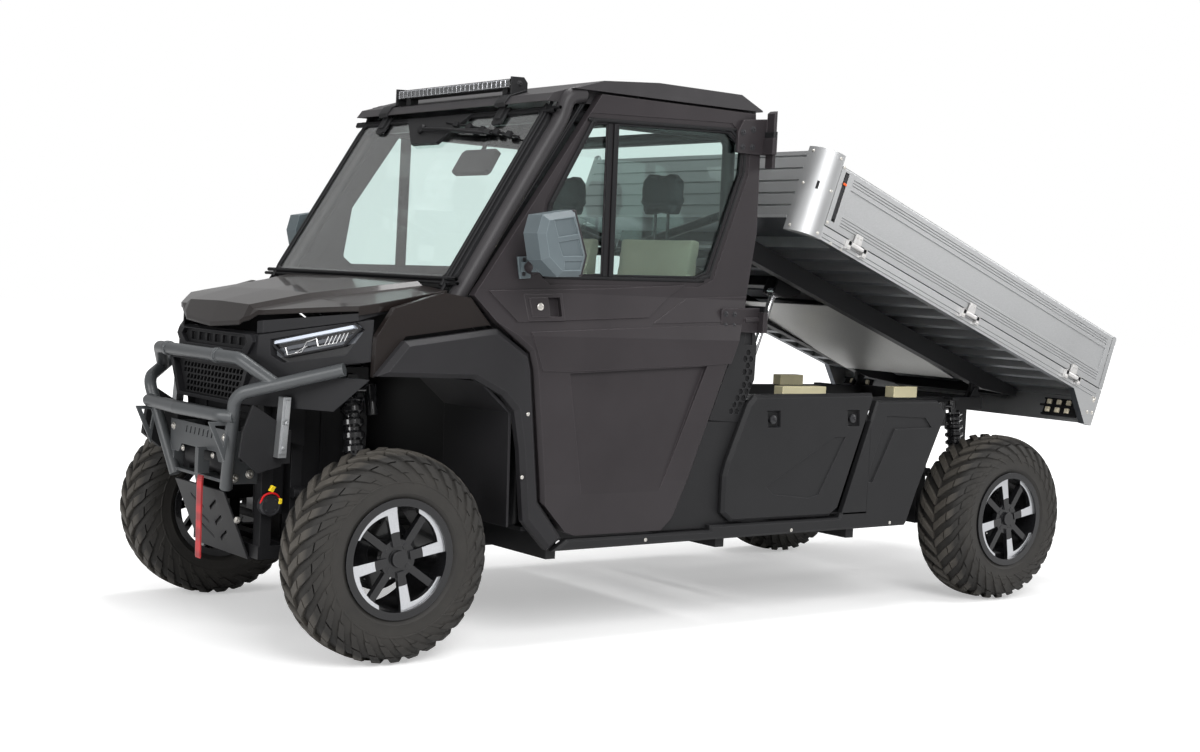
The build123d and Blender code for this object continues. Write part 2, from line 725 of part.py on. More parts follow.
with BuildPart() as fenders:
    for side in (1, -1):
        out = 705 - seat_gap if side == 1 else -681 + seat_gap
        slab(side_plane(out), [(96, 915), (-14, 1046), (-333, 1090), (-252, 1177), (-150, 1190), (30, 1136),
             (92, 1042)], 24)
save(fenders, "fenders")

flare_out = 745
flare_root = 705
arch_bevel = 16
with BuildPart() as flares:
    # one moulding: a flat band along the fender and the arch below it, bevelled round the wheel
    arch = [(100, 921), (2, 1032), (-340, 1080), (-470, 998), (-484, 946), (-535, 505), (-640, 375), (-580, 336),
            (-478, 440), (-450, 683), (-424, 809), (-374, 860), (-260, 915)]
    slab(side_plane(flare_out), arch, flare_out - flare_root)
    chamfer(flares.faces().filter_by(Axis.Y).sort_by(Axis.Y)[-1].edges(), arch_bevel)
    inner = 705 - seat_gap
    slab(side_plane(inner), [(-438, 420), (-430, 806), (-306, 906), (-296, 904), (-420, 800), (-430, 420)], 405 - seat_gap)
    mirror(about=Plane.XZ)
save(flares, "fender_flares")

with BuildPart() as nose_covers:
    # dark angular covers on the frame's front posts, behind the bumper's legs
    cover = [(240, 733), (243, 691), (250, 605), (332, 584), (398, 637), (388, 721), (356, 805)]
    slab(side_plane(400), cover, 15, taper=12)
    slab(side_plane(386), [(212, 720), (212, 612), (325, 606), (325, 720)], 386 - rail_out - 25 - seat_gap)
    slab(side_plane(430), [(253, 640), (275, 640), (262, 827), (243, 827)], 31)
    mirror(about=Plane.XZ)
save(nose_covers, "nose_covers")

# ---------------------------------------------------------------------------------------------
# Cab
# ---------------------------------------------------------------------------------------------
with BuildPart() as cab_tub:
    block((-1420, -500), (-690, 690), (floor_height, floor_height + 14))
    block((-508, -490), (-590, 590), (floor_height + 14, 1120))
    for side in (1, -1):
        block((-490, -437), sorted((side * 480, side * 540)), (500, 560))
    block((cab_rear, cab_rear + 14), (-590, 590), (floor_height, 1280))
    block((cab_rear, -1400), (-590, 590), (floor_height, floor_height + 14))
    block((-1400, -900), (-560, 560), (floor_height + 14, 600))
    block((-1380, -920), (-540, 540), (floor_height + 14, 580), mode=Mode.SUBTRACT)
save(cab_tub, "cab_tub")

pillar_back = 44         # pillar's axis behind the windscreen's plane
pillar_foot = screen.origin - screen.z_dir * pillar_back - screen.y_dir * 40
pillar_head = screen.origin - screen.z_dir * pillar_back + screen.y_dir * 706
roof_rail_height = pillar_head.Z
with BuildPart() as cab_frame:
    for side in (1, -1):
        out = side * cage_out
        tube([(-520, out, floor_height + 14 + seat_gap), (-520, out, 960),
              (pillar_foot.X - front_axle, out, pillar_foot.Z), (pillar_head.X - front_axle, out, roof_rail_height),
              (-1395, out, roof_rail_height), (-1402, out, floor_height + 14 + seat_gap)], tube_diameter, 50)
        rod((-1402, out, 1520), (-1402, side * 60, 1390), 34)
        for low, high in hinge_levels:
            with BuildSketch(level_plane(high + seat_gap)) as knuckle:
                with Locations((hinge_ahead, side * hinge_out)):
                    Circle(hinge_radius)
            extrude(knuckle.sketch, amount=22)
            block((hinge_ahead - 5, hinge_ahead + 5), sorted((side * 620, side * hinge_out)),
                  (high + seat_gap, high + 22))
            block((hinge_ahead - 5, -1400), sorted((side * 610, side * 630)), (high + seat_gap, high + 22))
        for ahead, top in ((-700, 1894), (-1300, 1925)):
            block((ahead - 14, ahead + 14), sorted((side * 600, side * 630)), (roof_rail_height, top))
    rod((pillar_head.X - front_axle, -cage_out, roof_rail_height), (pillar_head.X - front_axle, cage_out,
        roof_rail_height), tube_diameter)
    rod((-1396, -cage_out, roof_rail_height), (-1396, cage_out, roof_rail_height), tube_diameter)
    rod((-1402, -cage_out, 1370), (-1402, cage_out, 1370), 34)
    with BuildSketch(screen.offset(-22)) as surround:
        with Locations((0, 345)):
            Rectangle(1296, 720)
        fillet(surround.vertices(), 60)
        with Locations((0, 345)):
            Rectangle(1200, 650, mode=Mode.SUBTRACT)
    extrude(surround.sketch, amount=22 - seat_gap)
    for side in (1, -1):
        rod((hood_hinge_ahead, side * (320 + seat_gap), hood_hinge_height), (hood_hinge_ahead, side * 345,
            hood_hinge_height), 10)
        block((hood_hinge_ahead - 14, hood_hinge_ahead), sorted((side * (320 + seat_gap), side * 345)),
              (hood_hinge_height - 3, hood_hinge_height + 5))
save(cab_frame, "cab_frame")

with BuildPart() as cab_glass:
    with BuildSketch(screen) as pane:
        with Locations((0, screen_length / 2)):
            Rectangle(2 * screen_half_width, screen_length)
        fillet(pane.vertices(), 30)
    extrude(pane.sketch, amount=glass_thickness)
    block((cab_rear + 4, cab_rear + 9), (-575, 575), (1280 + seat_gap, 1800))
save(cab_glass, "cab_glass")

roof_inner_out = 645
roof_profile = [(-552, 1846), (-575, 1876), (-760, 1932), (-1000, 1950), (-1385, 1948), (-1490, 1900), (-1492, 1878)]
roof_inner = [(-560, 1840), (-590, 1874), (-765, 1912), (-1000, 1928), (-1378, 1926), (-1462, 1880), (-1462, 1840)]
with BuildPart() as roof:
    slab(side_plane(roof_inner_out + 7), roof_profile, 2 * (roof_inner_out + 7))
    for side in (1, -1):
        out = side * 671 + 19
        slab(side_plane(out), [(-640, 1895), (-760, 1932), (-1000, 1950), (-1385, 1948), (-1490, 1900),
             (-1490, 1895)], 38)
    slab(side_plane(roof_inner_out), roof_inner, 2 * roof_inner_out, mode=Mode.SUBTRACT)
save(roof, "roof")

with BuildPart() as light_bar:
    block((-640, -585), (-392, 392), (1908, 1940))
    for out in (-330, 330):
        slab(side_plane(out + 15), [(-595, 1882.4), (-630, 1893), (-630, 1908), (-595, 1908)], 30)
save(light_bar, "light_bar")

with BuildPart() as wiper:
    slab(screen.offset(glass_thickness + seat_gap), [(-270, 690), (174, 690), (45, 568), (-132, 568)], 14)
    slab(screen.offset(glass_thickness + seat_gap + 14), [(-120, 640), (-120, 624), (380, 590), (380, 606)], 8)
save(wiper, "wiper")

with BuildPart() as dashboard:
    slab(side_plane(590), [(-300, 1180), (-560, 1150), (-640, 1060), (-600, 960), (-508 - seat_gap, 930), (-508 - seat_gap, 1125),
         (-300, 1160)], 1180)
    rod((-610, 320, 1010), (-762.5, 320, 1085.2), 44)
save(dashboard, "dashboard")

wheel_centre = (-770, 320, 1089)
column_tilt = degrees(atan2(65, 132))
with BuildPart() as steering_wheel:
    column = Vector(-132, 0, 65).normalized()
    hub_plane = Plane(origin=Vector(*wheel_centre) + Vector(front_axle, 0, 0), x_dir=(0, 1, 0), z_dir=column)
    with BuildSketch(Plane(origin=hub_plane.origin + hub_plane.x_dir * 175, x_dir=hub_plane.x_dir,
                           z_dir=hub_plane.y_dir)) as grip:
        Circle(15)
    revolve(grip.sketch, axis=Axis(hub_plane.origin, hub_plane.z_dir))
    with BuildSketch(hub_plane.offset(-8)) as spokes:
        Circle(45)
        with PolarLocations(100, 3, start_angle=90):
            Rectangle(140, 26)
    extrude(spokes.sketch, amount=14)
save(steering_wheel, "steering_wheel")

seat_places = (310, -310)
with BuildPart() as seat_cushions:
    for out in seat_places:
        block((-1340, -880), (out - 240, out + 240), (600 + seat_gap, 700))
    fillet(seat_cushions.edges().filter_by(Axis.Z), 45)
    chamfer(seat_cushions.faces().sort_by(Axis.Z)[-2:].edges(), 16)
save(seat_cushions, "seat_cushions")

with BuildPart() as seat_backs:
    for out in seat_places:
        slab(side_plane(out + 235), [(-1250, 700 + seat_gap), (-1340, 700 + seat_gap), (-1376, 1440), (-1316, 1440)], 470)
        slab(side_plane(out + 130), [(-1312, 1500), (-1374, 1500), (-1376, 1680), (-1330, 1680)], 260)
        block((-1352, -1340), (out - 8, out + 8), (1440, 1500))
save(seat_backs, "seat_backs")

# ---------------------------------------------------------------------------------------------
# Doors
# ---------------------------------------------------------------------------------------------
door_outline = [
    (-697, door_bottom), (-1073, door_bottom), (-1139, 442), (-1445, 1219), (-1482, 1450), (-1482, 1766),
    (-1450, door_top), (-752, door_top), (-300, 1235), (-262, 1185), (-339, 1102), (-474, 1005), (-492, 945),
    (-547, 502), (-654, 394),
]
window_outline = [
    (-726, 1790), (-560, 1500), (-528, 1295), (-572, 1262), (-1205, 1276), (-1258, 1296), (-1398, 1665),
    (-1402, 1755), (-1330, 1812),
]
skin = [
    # out, height of the door's outer face
    (728, 360), (door_bulge, 560), (door_bulge, belt_height), (window_plane, shoulder_height), (roof_plane, 1900),
]


door_bevel = 13
divider = (-826, -782)   # bar between the two panes of the door's window
wedge = [(-318, 1203), (-814, 1227), (-1148, 1251), (-1081, 1211), (-974, 1133), (-420, 1104)]
belt = [(-1444, 1219), (-1162, 1205), (-992, 1112), (-1420, 1130)]
lower_band = [(-470, 1072), (-985, 1098), (-1405, 1118), (-1350, 976), (-1263, 971), (-633, 942), (-520, 943)]
recess = [(-634, 936), (-1240, 966), (-1030, 488), (-712, 492)]
handle_plate = [(-454, 1195), (-610, 1202), (-610, 1113), (-462, 1108)]
handle_pocket = [(-548, 1188), (-600, 1190), (-600, 1126), (-548, 1124)]
handle_lever = [(-472, 1184), (-562, 1189), (-562, 1126), (-478, 1122)]


def door_slice(outline, inset, thickness, grow=0):
    """The left door's curved slice between two depths below its outer face, cut to an outline."""
    with BuildPart() as piece:
        outer = [(y - inset, z) for y, z in skin]
        inner = [(y - inset - thickness, z) for y, z in reversed(skin)]
        slab(cross_plane(-1600), outer + inner, 1500)
        shrunk(side_plane(810), outline, -grow, 500, mode=Mode.INTERSECT)
    return piece.part


door_body = door_slice(door_outline, 0, door_thickness)
pressings = [door_slice(outline, -proud, proud + 6) for outline, proud in ((wedge, 5), (belt, 3), (lower_band, 4))]
pressings += [door_slice(handle_plate, -7, 12), door_slice(handle_lever, -10, 18)]
pocket = door_slice(handle_pocket, -10, 22)
land = door_slice(window_outline, -1, 5, grow=30)
bar = door_slice([(divider[0], 1240), (divider[1], 1240), (divider[1], 1830), (divider[0], 1830)], 5, 8)
with BuildPart() as door:
    add(door_body)
    flank = door.faces().filter_by(Axis.Y).sort_by(Axis.Y)[-1]
    chamfer(flank.edges().filter_by(Axis.X, reverse=True), door_bevel)
    add(pressings)
    add(pocket, mode=Mode.SUBTRACT)
    # lower panel sinks in below the band and runs out to the surface at its foot
    with BuildSketch(cross_plane(-1300)) as ramp:
        Polygon((door_bulge - 15, 970), (door_bulge + 20, 970), (door_bulge + 20, 480), (door_bulge - 2, 480), align=None)
    sunk = extrude(ramp.sketch, amount=700, mode=Mode.PRIVATE)
    with BuildSketch(side_plane(810)) as zone:
        Polygon(*recess, align=None)
    add(sunk & extrude(zone.sketch, amount=300, mode=Mode.PRIVATE), mode=Mode.SUBTRACT)
    add(land, mode=Mode.SUBTRACT)
    slab(side_plane(810), window_outline, 500, radius=20, mode=Mode.SUBTRACT)
    add(bar)
    for low, high in hinge_levels:
        with BuildSketch(level_plane(low)) as barrel:
            with Locations((hinge_ahead, hinge_out)):
                Circle(hinge_radius)
        extrude(barrel.sketch, amount=high - low)
        face = roof_plane if low > shoulder_height else door_bulge - 30
        block((hinge_ahead, hinge_ahead + 12), (face - 3, hinge_out + 4), (low, high))
        block((hinge_ahead + 12, hinge_ahead + 130), (face - 3, face + 9), (low, high))
save_pair(door, "door_left", "door_right")

with BuildPart() as door_glass:
    add(door_slice(door_outline, 14, glass_thickness))
    with BuildSketch(side_plane(810)) as face:
        with BuildLine():
            FilletPolyline(*window_outline, radius=20, close=True)
        make_face()
        offset(amount=-seat_gap)
    extrude(face.sketch, amount=500, mode=Mode.INTERSECT)
save_pair(door_glass, "door_glass_left", "door_glass_right")

mirror_out = 900
with BuildPart() as door_mirror:
    slab(side_plane(mirror_out), [(-380, 1395), (-396, 1455), (-523, 1479), (-577, 1332), (-560, 1262), (-465, 1258),
         (-400, 1310)], 100)
    chamfer(door_mirror.faces().filter_by(Axis.Y).sort_by(Axis.Y)[-1].edges(), 20)
    for sunk in ([(-430, 1440), (-505, 1452), (-528, 1400), (-450, 1385)],
                 [(-450, 1370), (-532, 1385), (-552, 1330), (-470, 1325)],
                 [(-478, 1310), (-552, 1315), (-545, 1284), (-478, 1280)]):
        slab(side_plane(mirror_out), sunk, 5, mode=Mode.SUBTRACT)
    block((-470, -440), (window_plane - seat_gap, 802), (1270, 1300))
    slab(side_plane(window_plane + 8 - seat_gap), [(-424, 1318), (-478, 1322), (-478, 1250), (-437, 1246)], 8)
save_pair(door_mirror, "mirror_left", "mirror_right")

# ---------------------------------------------------------------------------------------------
# Side panels and storage boxes
# ---------------------------------------------------------------------------------------------
lid_outline = [(-1489, 860), (-2099, 868), (-2108, 850), (-1945, 424), (-1900, 396), (-1400, 396), (-1353, 430),
               (-1352, 566), (-1368, 620), (-1456, 828)]
lid_thickness = 26
lid_bevel = 12
latches = (-1580, -1995)  # ahead, where the lid's two latches sit
latch_height = 770
vent_cells = [(-1392, 800), (-1420, 800), (-1406, 824), (-1434, 824), (-1420, 848), (-1448, 848), (-1434, 872),
              (-1462, 872), (-1448, 896), (-1476, 896), (-1462, 920), (-1448, 944), (-1476, 944), (-1462, 968),
              (-1448, 992), (-1476, 992), (-1462, 1016)]
panel_edge = 8
with BuildPart() as side_panels:
    # rocker and the fixed panel behind the storage box
    slab(side_plane(side_out), [(-600, rocker_bottom), (-2320, rocker_bottom + 10), (-2328, 352), (-2380, 478),
         (-2526, 784), (-2470, 838), (-2126, 838), (-1953, 388), (-1300, 388), (-1300, 370), (-660, 370)], 30)
    chamfer(side_panels.faces().filter_by(Axis.Y).sort_by(Axis.Y)[-1].edges(), panel_edge)
    slab(side_plane(side_out), [(-2180, 780), (-2400, 770), (-2440, 730), (-2230, 726), (-2120, 520), (-2086, 520)], 6,
         mode=Mode.SUBTRACT)
    # vent panel behind the door
    vent_face = side_out - 28
    slab(side_plane(vent_face), [(-1480, 1109), (-1501, 1059), (-1498, 917), (-1456, 829),
         (-1431, 760), (-1288, 768), (-1311, 826), (-1423, 1106)], 27)
    with BuildSketch(side_plane(vent_face)) as cells:
        with Locations(*vent_cells):
            RegularPolygon(12, 6)
    extrude(cells.sketch, amount=7, mode=Mode.SUBTRACT)
    slab(side_plane(vent_face), [(-1440, 1044), (-1480, 1044), (-1476, 1090), (-1446, 1090)], 7, mode=Mode.SUBTRACT)
    # storage bin
    block((-2100, -1480), (420, side_out - lid_thickness - seat_gap), (400, 840))
    block((-2094, -1486), (426, side_out + 10), (406, 834), mode=Mode.SUBTRACT)
    mirror(about=Plane.XZ)
save(side_panels, "side_panels")

with BuildPart() as lid:
    slab(side_plane(side_out), lid_outline, lid_thickness)
    chamfer(lid.faces().filter_by(Axis.Y).sort_by(Axis.Y)[-1].edges(), lid_bevel)
    for ahead in latches:
        slab(side_plane(side_out), [(ahead - 34, latch_height + 34), (ahead + 34, latch_height + 34),
             (ahead + 26, latch_height - 30), (ahead - 38, latch_height - 30)], 16, taper=16, mode=Mode.SUBTRACT)
        with BuildSketch(side_plane(side_out - 2)) as knob:
            with Locations((ahead, latch_height)):
                Circle(14)
        extrude(knob.sketch, amount=18)
    # shallow fold across the lid
    slab(side_plane(side_out), [(-1560, 520), (-1900, 700), (-1960, 700), (-1830, 480), (-1780, 470), (-1600, 490)], 4,
         mode=Mode.SUBTRACT)
save_pair(lid, "storage_lid_left", "storage_lid_right")

# ---------------------------------------------------------------------------------------------
# Bed
# ---------------------------------------------------------------------------------------------
beam_depth = 76
with BuildPart() as bed_frame:
    for side in (1, -1):
        slab(bed_side(side * bed_beam_out + 22), [(60, -side_rail_height), (60, -side_rail_height - beam_depth),
             (-1540, -side_rail_height - beam_depth), (-1760, -side_rail_height - 30), (-1760, -side_rail_height)], 44)
        slab(bed_side(side * bed_beam_out + 9), [(bed_pivot_back - 12, bed_pivot_below - 12),
             (bed_pivot_back + 12, bed_pivot_below - 12), (bed_pivot_back + 30, -side_rail_height - beam_depth + 4),
             (bed_pivot_back - 30, -side_rail_height - beam_depth + 4)], 18)
    for back in (40, -440, -900, -1340, -1740):
        slab(bed_level(-side_rail_height - 42), [(back - 20, -bed_beam_out + 22), (back + 20, -bed_beam_out + 22),
             (back + 20, bed_beam_out - 22), (back - 20, bed_beam_out - 22)], 42)
    # ears that hold the head of the lift
    for gap in (-36, 28):
        slab(bed_side(lift_out + gap + 8), [(-460, -side_rail_height - 42), (-325, -side_rail_height - 42),
             (-325, lift_eye_below - 14), (-385, lift_eye_below - 14), (-460, -side_rail_height - 62)], 8)
save(bed_frame, "bed_frame")

gate_hinge_below = -14
gate_hinges = (-183, -891, -1606)
tailgate_hinges = (-500, 0, 500)
groove_width = 4
groove_depth = 3
rail_grooves = (-28, -44)                        # levels of the side rail's long grooves
gate_grooves = (26, 37, 48, 59, 190, 201, 212)   # heights of a gate's long grooves
gate_flat = (74, 174)                            # the plain band between them
flat_depth = 4
headboard_ribs = (34, 84, 134, 184, 234)
rib_width = 9
rib_depth = 5
with BuildPart() as bed_deck:
    slab(bed_level(-deck_thickness), [(post_reach, -bed_half_width + 105), (-2, -bed_half_width + 105),
         (-2, -bed_half_width + 30), (-bed_length, -bed_half_width + 30), (-bed_length, bed_half_width - 30),
         (-2, bed_half_width - 30), (-2, bed_half_width - 105), (post_reach, bed_half_width - 105)], deck_thickness)
    for side in (1, -1):
        out = sorted((side * (bed_half_width - 30), side * bed_half_width))
        slab(bed_side(out[1]), [(0, -2), (0, -side_rail_height), (-1650, -side_rail_height),
             (-1782, -172), (-1829, -166), (-1834, -2)], 30)
        for level in rail_grooves:
            slab(bed_side(side * bed_half_width + groove_depth), [(-6, level), (-6, level - groove_width),
                 (-bed_length + 30, level - groove_width), (-bed_length + 30, level)], 2 * groove_depth,
                 mode=Mode.SUBTRACT)
    for back in range(-1800, -60, 120):
        slab(bed_level(-side_rail_height), [(back, -bed_half_width + 30), (back + 30, -bed_half_width + 30),
             (back + 30, bed_half_width - 30), (back, bed_half_width - 30)], side_rail_height - deck_thickness)
    slab(bed_level(-170), [(-1786, -bed_half_width + 30), (-1780, -bed_half_width + 30),
         (-1780, bed_half_width - 30), (-1786, bed_half_width - 30)], 170 - side_rail_height)
    # fixed halves of the gate hinges
    for side in (1, -1):
        for back in gate_hinges:
            for end in (back - 50, back + 34 + hinge_play):
                slab(bed_side(side * (bed_half_width + 8) + 8), [(end, gate_hinge_below - 8),
                     (end + 16 - hinge_play, gate_hinge_below - 8), (end + 16 - hinge_play, gate_hinge_below + 8),
                     (end, gate_hinge_below + 8)], 16)
    for out in tailgate_hinges:
        for end in (out - 50, out + 34 + hinge_play):
            slab(bed_cross(-bed_length - 18), [(end, gate_hinge_below - 8),
                 (end + 16 - hinge_play, gate_hinge_below - 8), (end + 16 - hinge_play, gate_hinge_below + 8),
                 (end, gate_hinge_below + 8)], 18)
save(bed_deck, "bed_deck")

with BuildPart() as headboard:
    slab(bed_level(seat_gap), [(post_reach - 30, -bed_half_width + 100), (post_reach - 30, bed_half_width - 100),
         (post_reach, bed_half_width - 100), (post_reach, -bed_half_width + 100)], post_height - 20)
    for level in headboard_ribs:
        for start in (post_reach - rib_depth, post_reach - 30 - rib_depth):
            slab(bed_cross(start), [(-bed_half_width, level), (bed_half_width, level), (bed_half_width, level + rib_width),
                 (-bed_half_width, level + rib_width)], 2 * rib_depth, mode=Mode.SUBTRACT)
    for side in (1, -1):
        with BuildSketch(bed_level(-side_rail_height - 2)) as post:
            with BuildLine():
                Line((post_reach, side * (bed_half_width - 100)), (post_reach - 6, side * (bed_half_width - 100)))
                Line((post_reach - 6, side * (bed_half_width - 100)), (0, side * (bed_half_width - 6)))
                Line((0, side * (bed_half_width - 6)), (0, side * bed_half_width))
                ThreePointArc((0, side * bed_half_width),
                              (post_reach * 0.7071, side * (bed_half_width - 100 + 70.7)),
                              (post_reach, side * (bed_half_width - 100)))
            make_face()
        extrude(post.sketch, amount=post_height + side_rail_height + 2)
save(headboard, "headboard")

gate_end = -bed_length + gate_thickness + 4
gate_lip = 10            # the rounded top edge of a gate
with BuildPart() as gate:
    slab(bed_side(bed_half_width), [(-3, 3), (-3, gate_height), (gate_end, gate_height), (gate_end, 3)], gate_thickness)
    fillet(gate.edges().filter_by(Axis(bed_origin, bed_floor.x_dir)).group_by(Axis(bed_origin, bed_floor.z_dir))[-1],
           gate_lip)
    for height in gate_grooves:
        slab(bed_side(bed_half_width), [(-76, height), (gate_end + 30, height), (gate_end + 30, height + groove_width),
             (-76, height + groove_width)], groove_depth, mode=Mode.SUBTRACT)
    slab(bed_side(bed_half_width), [(-76, gate_flat[0]), (gate_end + 30, gate_flat[0]), (gate_end + 30, gate_flat[1]),
         (-76, gate_flat[1])], flat_depth, mode=Mode.SUBTRACT)
    # slot of the latch
    slab(bed_side(bed_half_width), [(-25, 28), (-46, 28), (-46, 226), (-25, 226)], 10, mode=Mode.SUBTRACT)
    for back in gate_hinges:
        with BuildSketch(bed_cross(back - 34)) as barrel:
            with Locations((bed_half_width + 9, gate_hinge_below)):
                Circle(8)
        extrude(barrel.sketch, amount=68)
        slab(bed_side(bed_half_width + 9), [(back - 14, gate_hinge_below + 6), (back + 14, gate_hinge_below + 6),
             (back + 14, 30), (back - 14, 30)], 9 + groove_depth)
        # relief, so that the leaf clears the side rail as it turns
        slab(bed_side(bed_half_width + 0.9), [(back - 15, gate_hinge_below - 9), (back + 15, gate_hinge_below - 9),
             (back + 15, 2), (back - 15, 2)], 6, mode=Mode.SUBTRACT)
save_pair(gate, "gate_left", "gate_right")

with BuildPart() as tailgate:
    slab(bed_cross(-bed_length - 2), [(-bed_half_width + 2, 3), (bed_half_width - 2, 3),
         (bed_half_width - 2, gate_height), (-bed_half_width + 2, gate_height)], gate_thickness)
    fillet(tailgate.edges().filter_by(Axis.Y).group_by(Axis(bed_origin, bed_floor.z_dir))[-1], gate_lip)
    for height in gate_grooves:
        slab(bed_cross(-bed_length - 2), [(60 - bed_half_width, height), (bed_half_width - 60, height),
             (bed_half_width - 60, height + groove_width), (60 - bed_half_width, height + groove_width)],
             groove_depth, mode=Mode.SUBTRACT)
    slab(bed_cross(-bed_length - 2), [(60 - bed_half_width, gate_flat[0]), (bed_half_width - 60, gate_flat[0]),
         (bed_half_width - 60, gate_flat[1]), (60 - bed_half_width, gate_flat[1])], flat_depth, mode=Mode.SUBTRACT)
    for out in tailgate_hinges:
        with BuildSketch(bed_side(out + 34)) as barrel:
            with Locations((-bed_length - 10, gate_hinge_below)):
                Circle(8)
        extrude(barrel.sketch, amount=68)
        slab(bed_cross(-bed_length - 10), [(out - 14, gate_hinge_below + 4), (out + 14, gate_hinge_below + 4),
             (out + 14, 30), (out - 14, 30)], 8.5)
save(tailgate, "tailgate")

with BuildPart() as tail_lamps:
    for side in (1, -1):
        lamp = sorted((side * 530, side * 712))
        slab(bed_cross(-1786 - 9 - seat_gap), [(lamp[0], -150), (lamp[1], -150), (lamp[1], -78), (lamp[0], -78)], 9)
save(tail_lamps, "tail_lamps")

with BuildPart() as bed_guard:
    guard_half = bed_beam_out - 22 - seat_gap
    slab(bed_side(guard_half), [(-620, -102), (-1380, -140), (-1380, -143), (-620, -105)], 2 * guard_half)
save(bed_guard, "bed_guard")

# ---------------------------------------------------------------------------------------------
# Lift
# ---------------------------------------------------------------------------------------------
eye = bed_origin + bed_floor.x_dir * lift_eye_back + bed_floor.z_dir * lift_eye_below
foot = Vector(front_axle + lift_foot_ahead, 0, lift_foot_height)
lift_line = Vector(eye.X - foot.X, 0, eye.Z - foot.Z)
lift_length = lift_line.length
lift_along = lift_line.normalized()
lift_plane = Plane(origin=(foot.X, lift_out, foot.Z), x_dir=(0, 1, 0), z_dir=lift_along)
barrel_length = 530
rod_radius = 14
rod_foot = 440
bore_radius = rod_radius + 0.4
with BuildPart() as lift_barrel:
    with BuildSketch(lift_plane.offset(18)) as neck:
        Circle(15)
    extrude(neck.sketch, amount=30)
    with BuildSketch(lift_plane.offset(42)) as body:
        Circle(30)
    extrude(body.sketch, amount=barrel_length - 42)
    with BuildSketch(lift_plane.offset(52)) as bore:
        Circle(bore_radius)
    extrude(bore.sketch, amount=barrel_length, mode=Mode.SUBTRACT)
    ring((lift_foot_ahead, lift_foot_height), 25, 0, lift_out - 19.6, lift_out + 19.6)
save(lift_barrel, "lift_barrel")

with BuildPart() as lift_rod:
    with BuildSketch(lift_plane.offset(lift_length - 20)) as bar:
        Circle(rod_radius)
    extrude(bar.sketch, amount=-(lift_length - 20 - rod_foot))
    ring((eye.X - front_axle, eye.Z), 22, 0, lift_out - 18, lift_out + 18)
    ring((eye.X - front_axle, eye.Z), 9, 0, lift_out - 26, lift_out + 26)
save(lift_rod, "lift_rod")
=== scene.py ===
import json
import math
from functools import partial

import bmesh
import bpy
from mathutils import Matrix, Vector


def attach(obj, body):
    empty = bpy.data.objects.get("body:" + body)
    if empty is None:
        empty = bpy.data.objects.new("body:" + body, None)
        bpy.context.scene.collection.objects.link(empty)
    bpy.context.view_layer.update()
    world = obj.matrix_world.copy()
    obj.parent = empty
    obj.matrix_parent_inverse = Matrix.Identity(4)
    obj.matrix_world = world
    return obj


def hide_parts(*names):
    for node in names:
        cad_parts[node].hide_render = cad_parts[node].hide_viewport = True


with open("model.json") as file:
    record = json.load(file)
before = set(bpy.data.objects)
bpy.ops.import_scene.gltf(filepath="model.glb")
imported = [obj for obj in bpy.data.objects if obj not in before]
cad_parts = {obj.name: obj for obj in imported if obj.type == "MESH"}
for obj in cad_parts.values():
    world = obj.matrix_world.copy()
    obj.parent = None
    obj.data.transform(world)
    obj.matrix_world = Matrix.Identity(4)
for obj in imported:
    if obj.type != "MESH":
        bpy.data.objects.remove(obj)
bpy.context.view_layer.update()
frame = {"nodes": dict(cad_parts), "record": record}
nodes = frame["nodes"]
FRONT_AXLE = 1.575
AXLE_SPACING = 2.920
TYRE_RADIUS = 0.343


# ---- Materials ----
class Nodes:
    """A node tree, and short ways to make and link its nodes."""

    def __init__(self, tree):
        self.tree = tree
        self.link = tree.links.new

    def fill(self, node, **values):
        """Set a node's inputs or properties, named with underscores, or link sockets to its inputs."""
        for key, value in values.items():
            title = key.replace("_", " ")
            if isinstance(value, bpy.types.NodeSocket):
                self.link(value, node.inputs[title])
            elif title in node.inputs:
                node.inputs[title].default_value = value
            else:
                setattr(node, key, value)
        return node

    def make(self, kind, **values):
        return self.fill(self.tree.nodes.new(kind), **values)

    def source(self, output="Object"):
        """Texture coordinates; the object's are in metres."""
        return self.make("ShaderNodeTexCoord").outputs[output]

    def spread(self, value, low, high, start=0.0, end=1.0):
        """A socket's value between start and end, spread from low to high."""
        return self.make("ShaderNodeMapRange", From_Min=start, From_Max=end, To_Min=low, To_Max=high,
                         Value=value).outputs["Result"]

    def number(self, operation, first, second=0.0, kind="ShaderNodeMath", output="Value"):
        """The result of a Math or Vector Math node on two sockets, numbers or vectors."""
        node = self.make(kind, operation=operation)
        for socket, value in zip(node.inputs, (first, second)):
            if isinstance(value, bpy.types.NodeSocket):
                self.link(value, socket)
            else:
                socket.default_value = value
        return node.outputs[output]

    def vector(self, operation, first, second=(0, 0, 0), output="Value"):
        return self.number(operation, first, second, "ShaderNodeVectorMath", output)


def shade(colour, factor):
    return tuple(c * factor for c in colour)


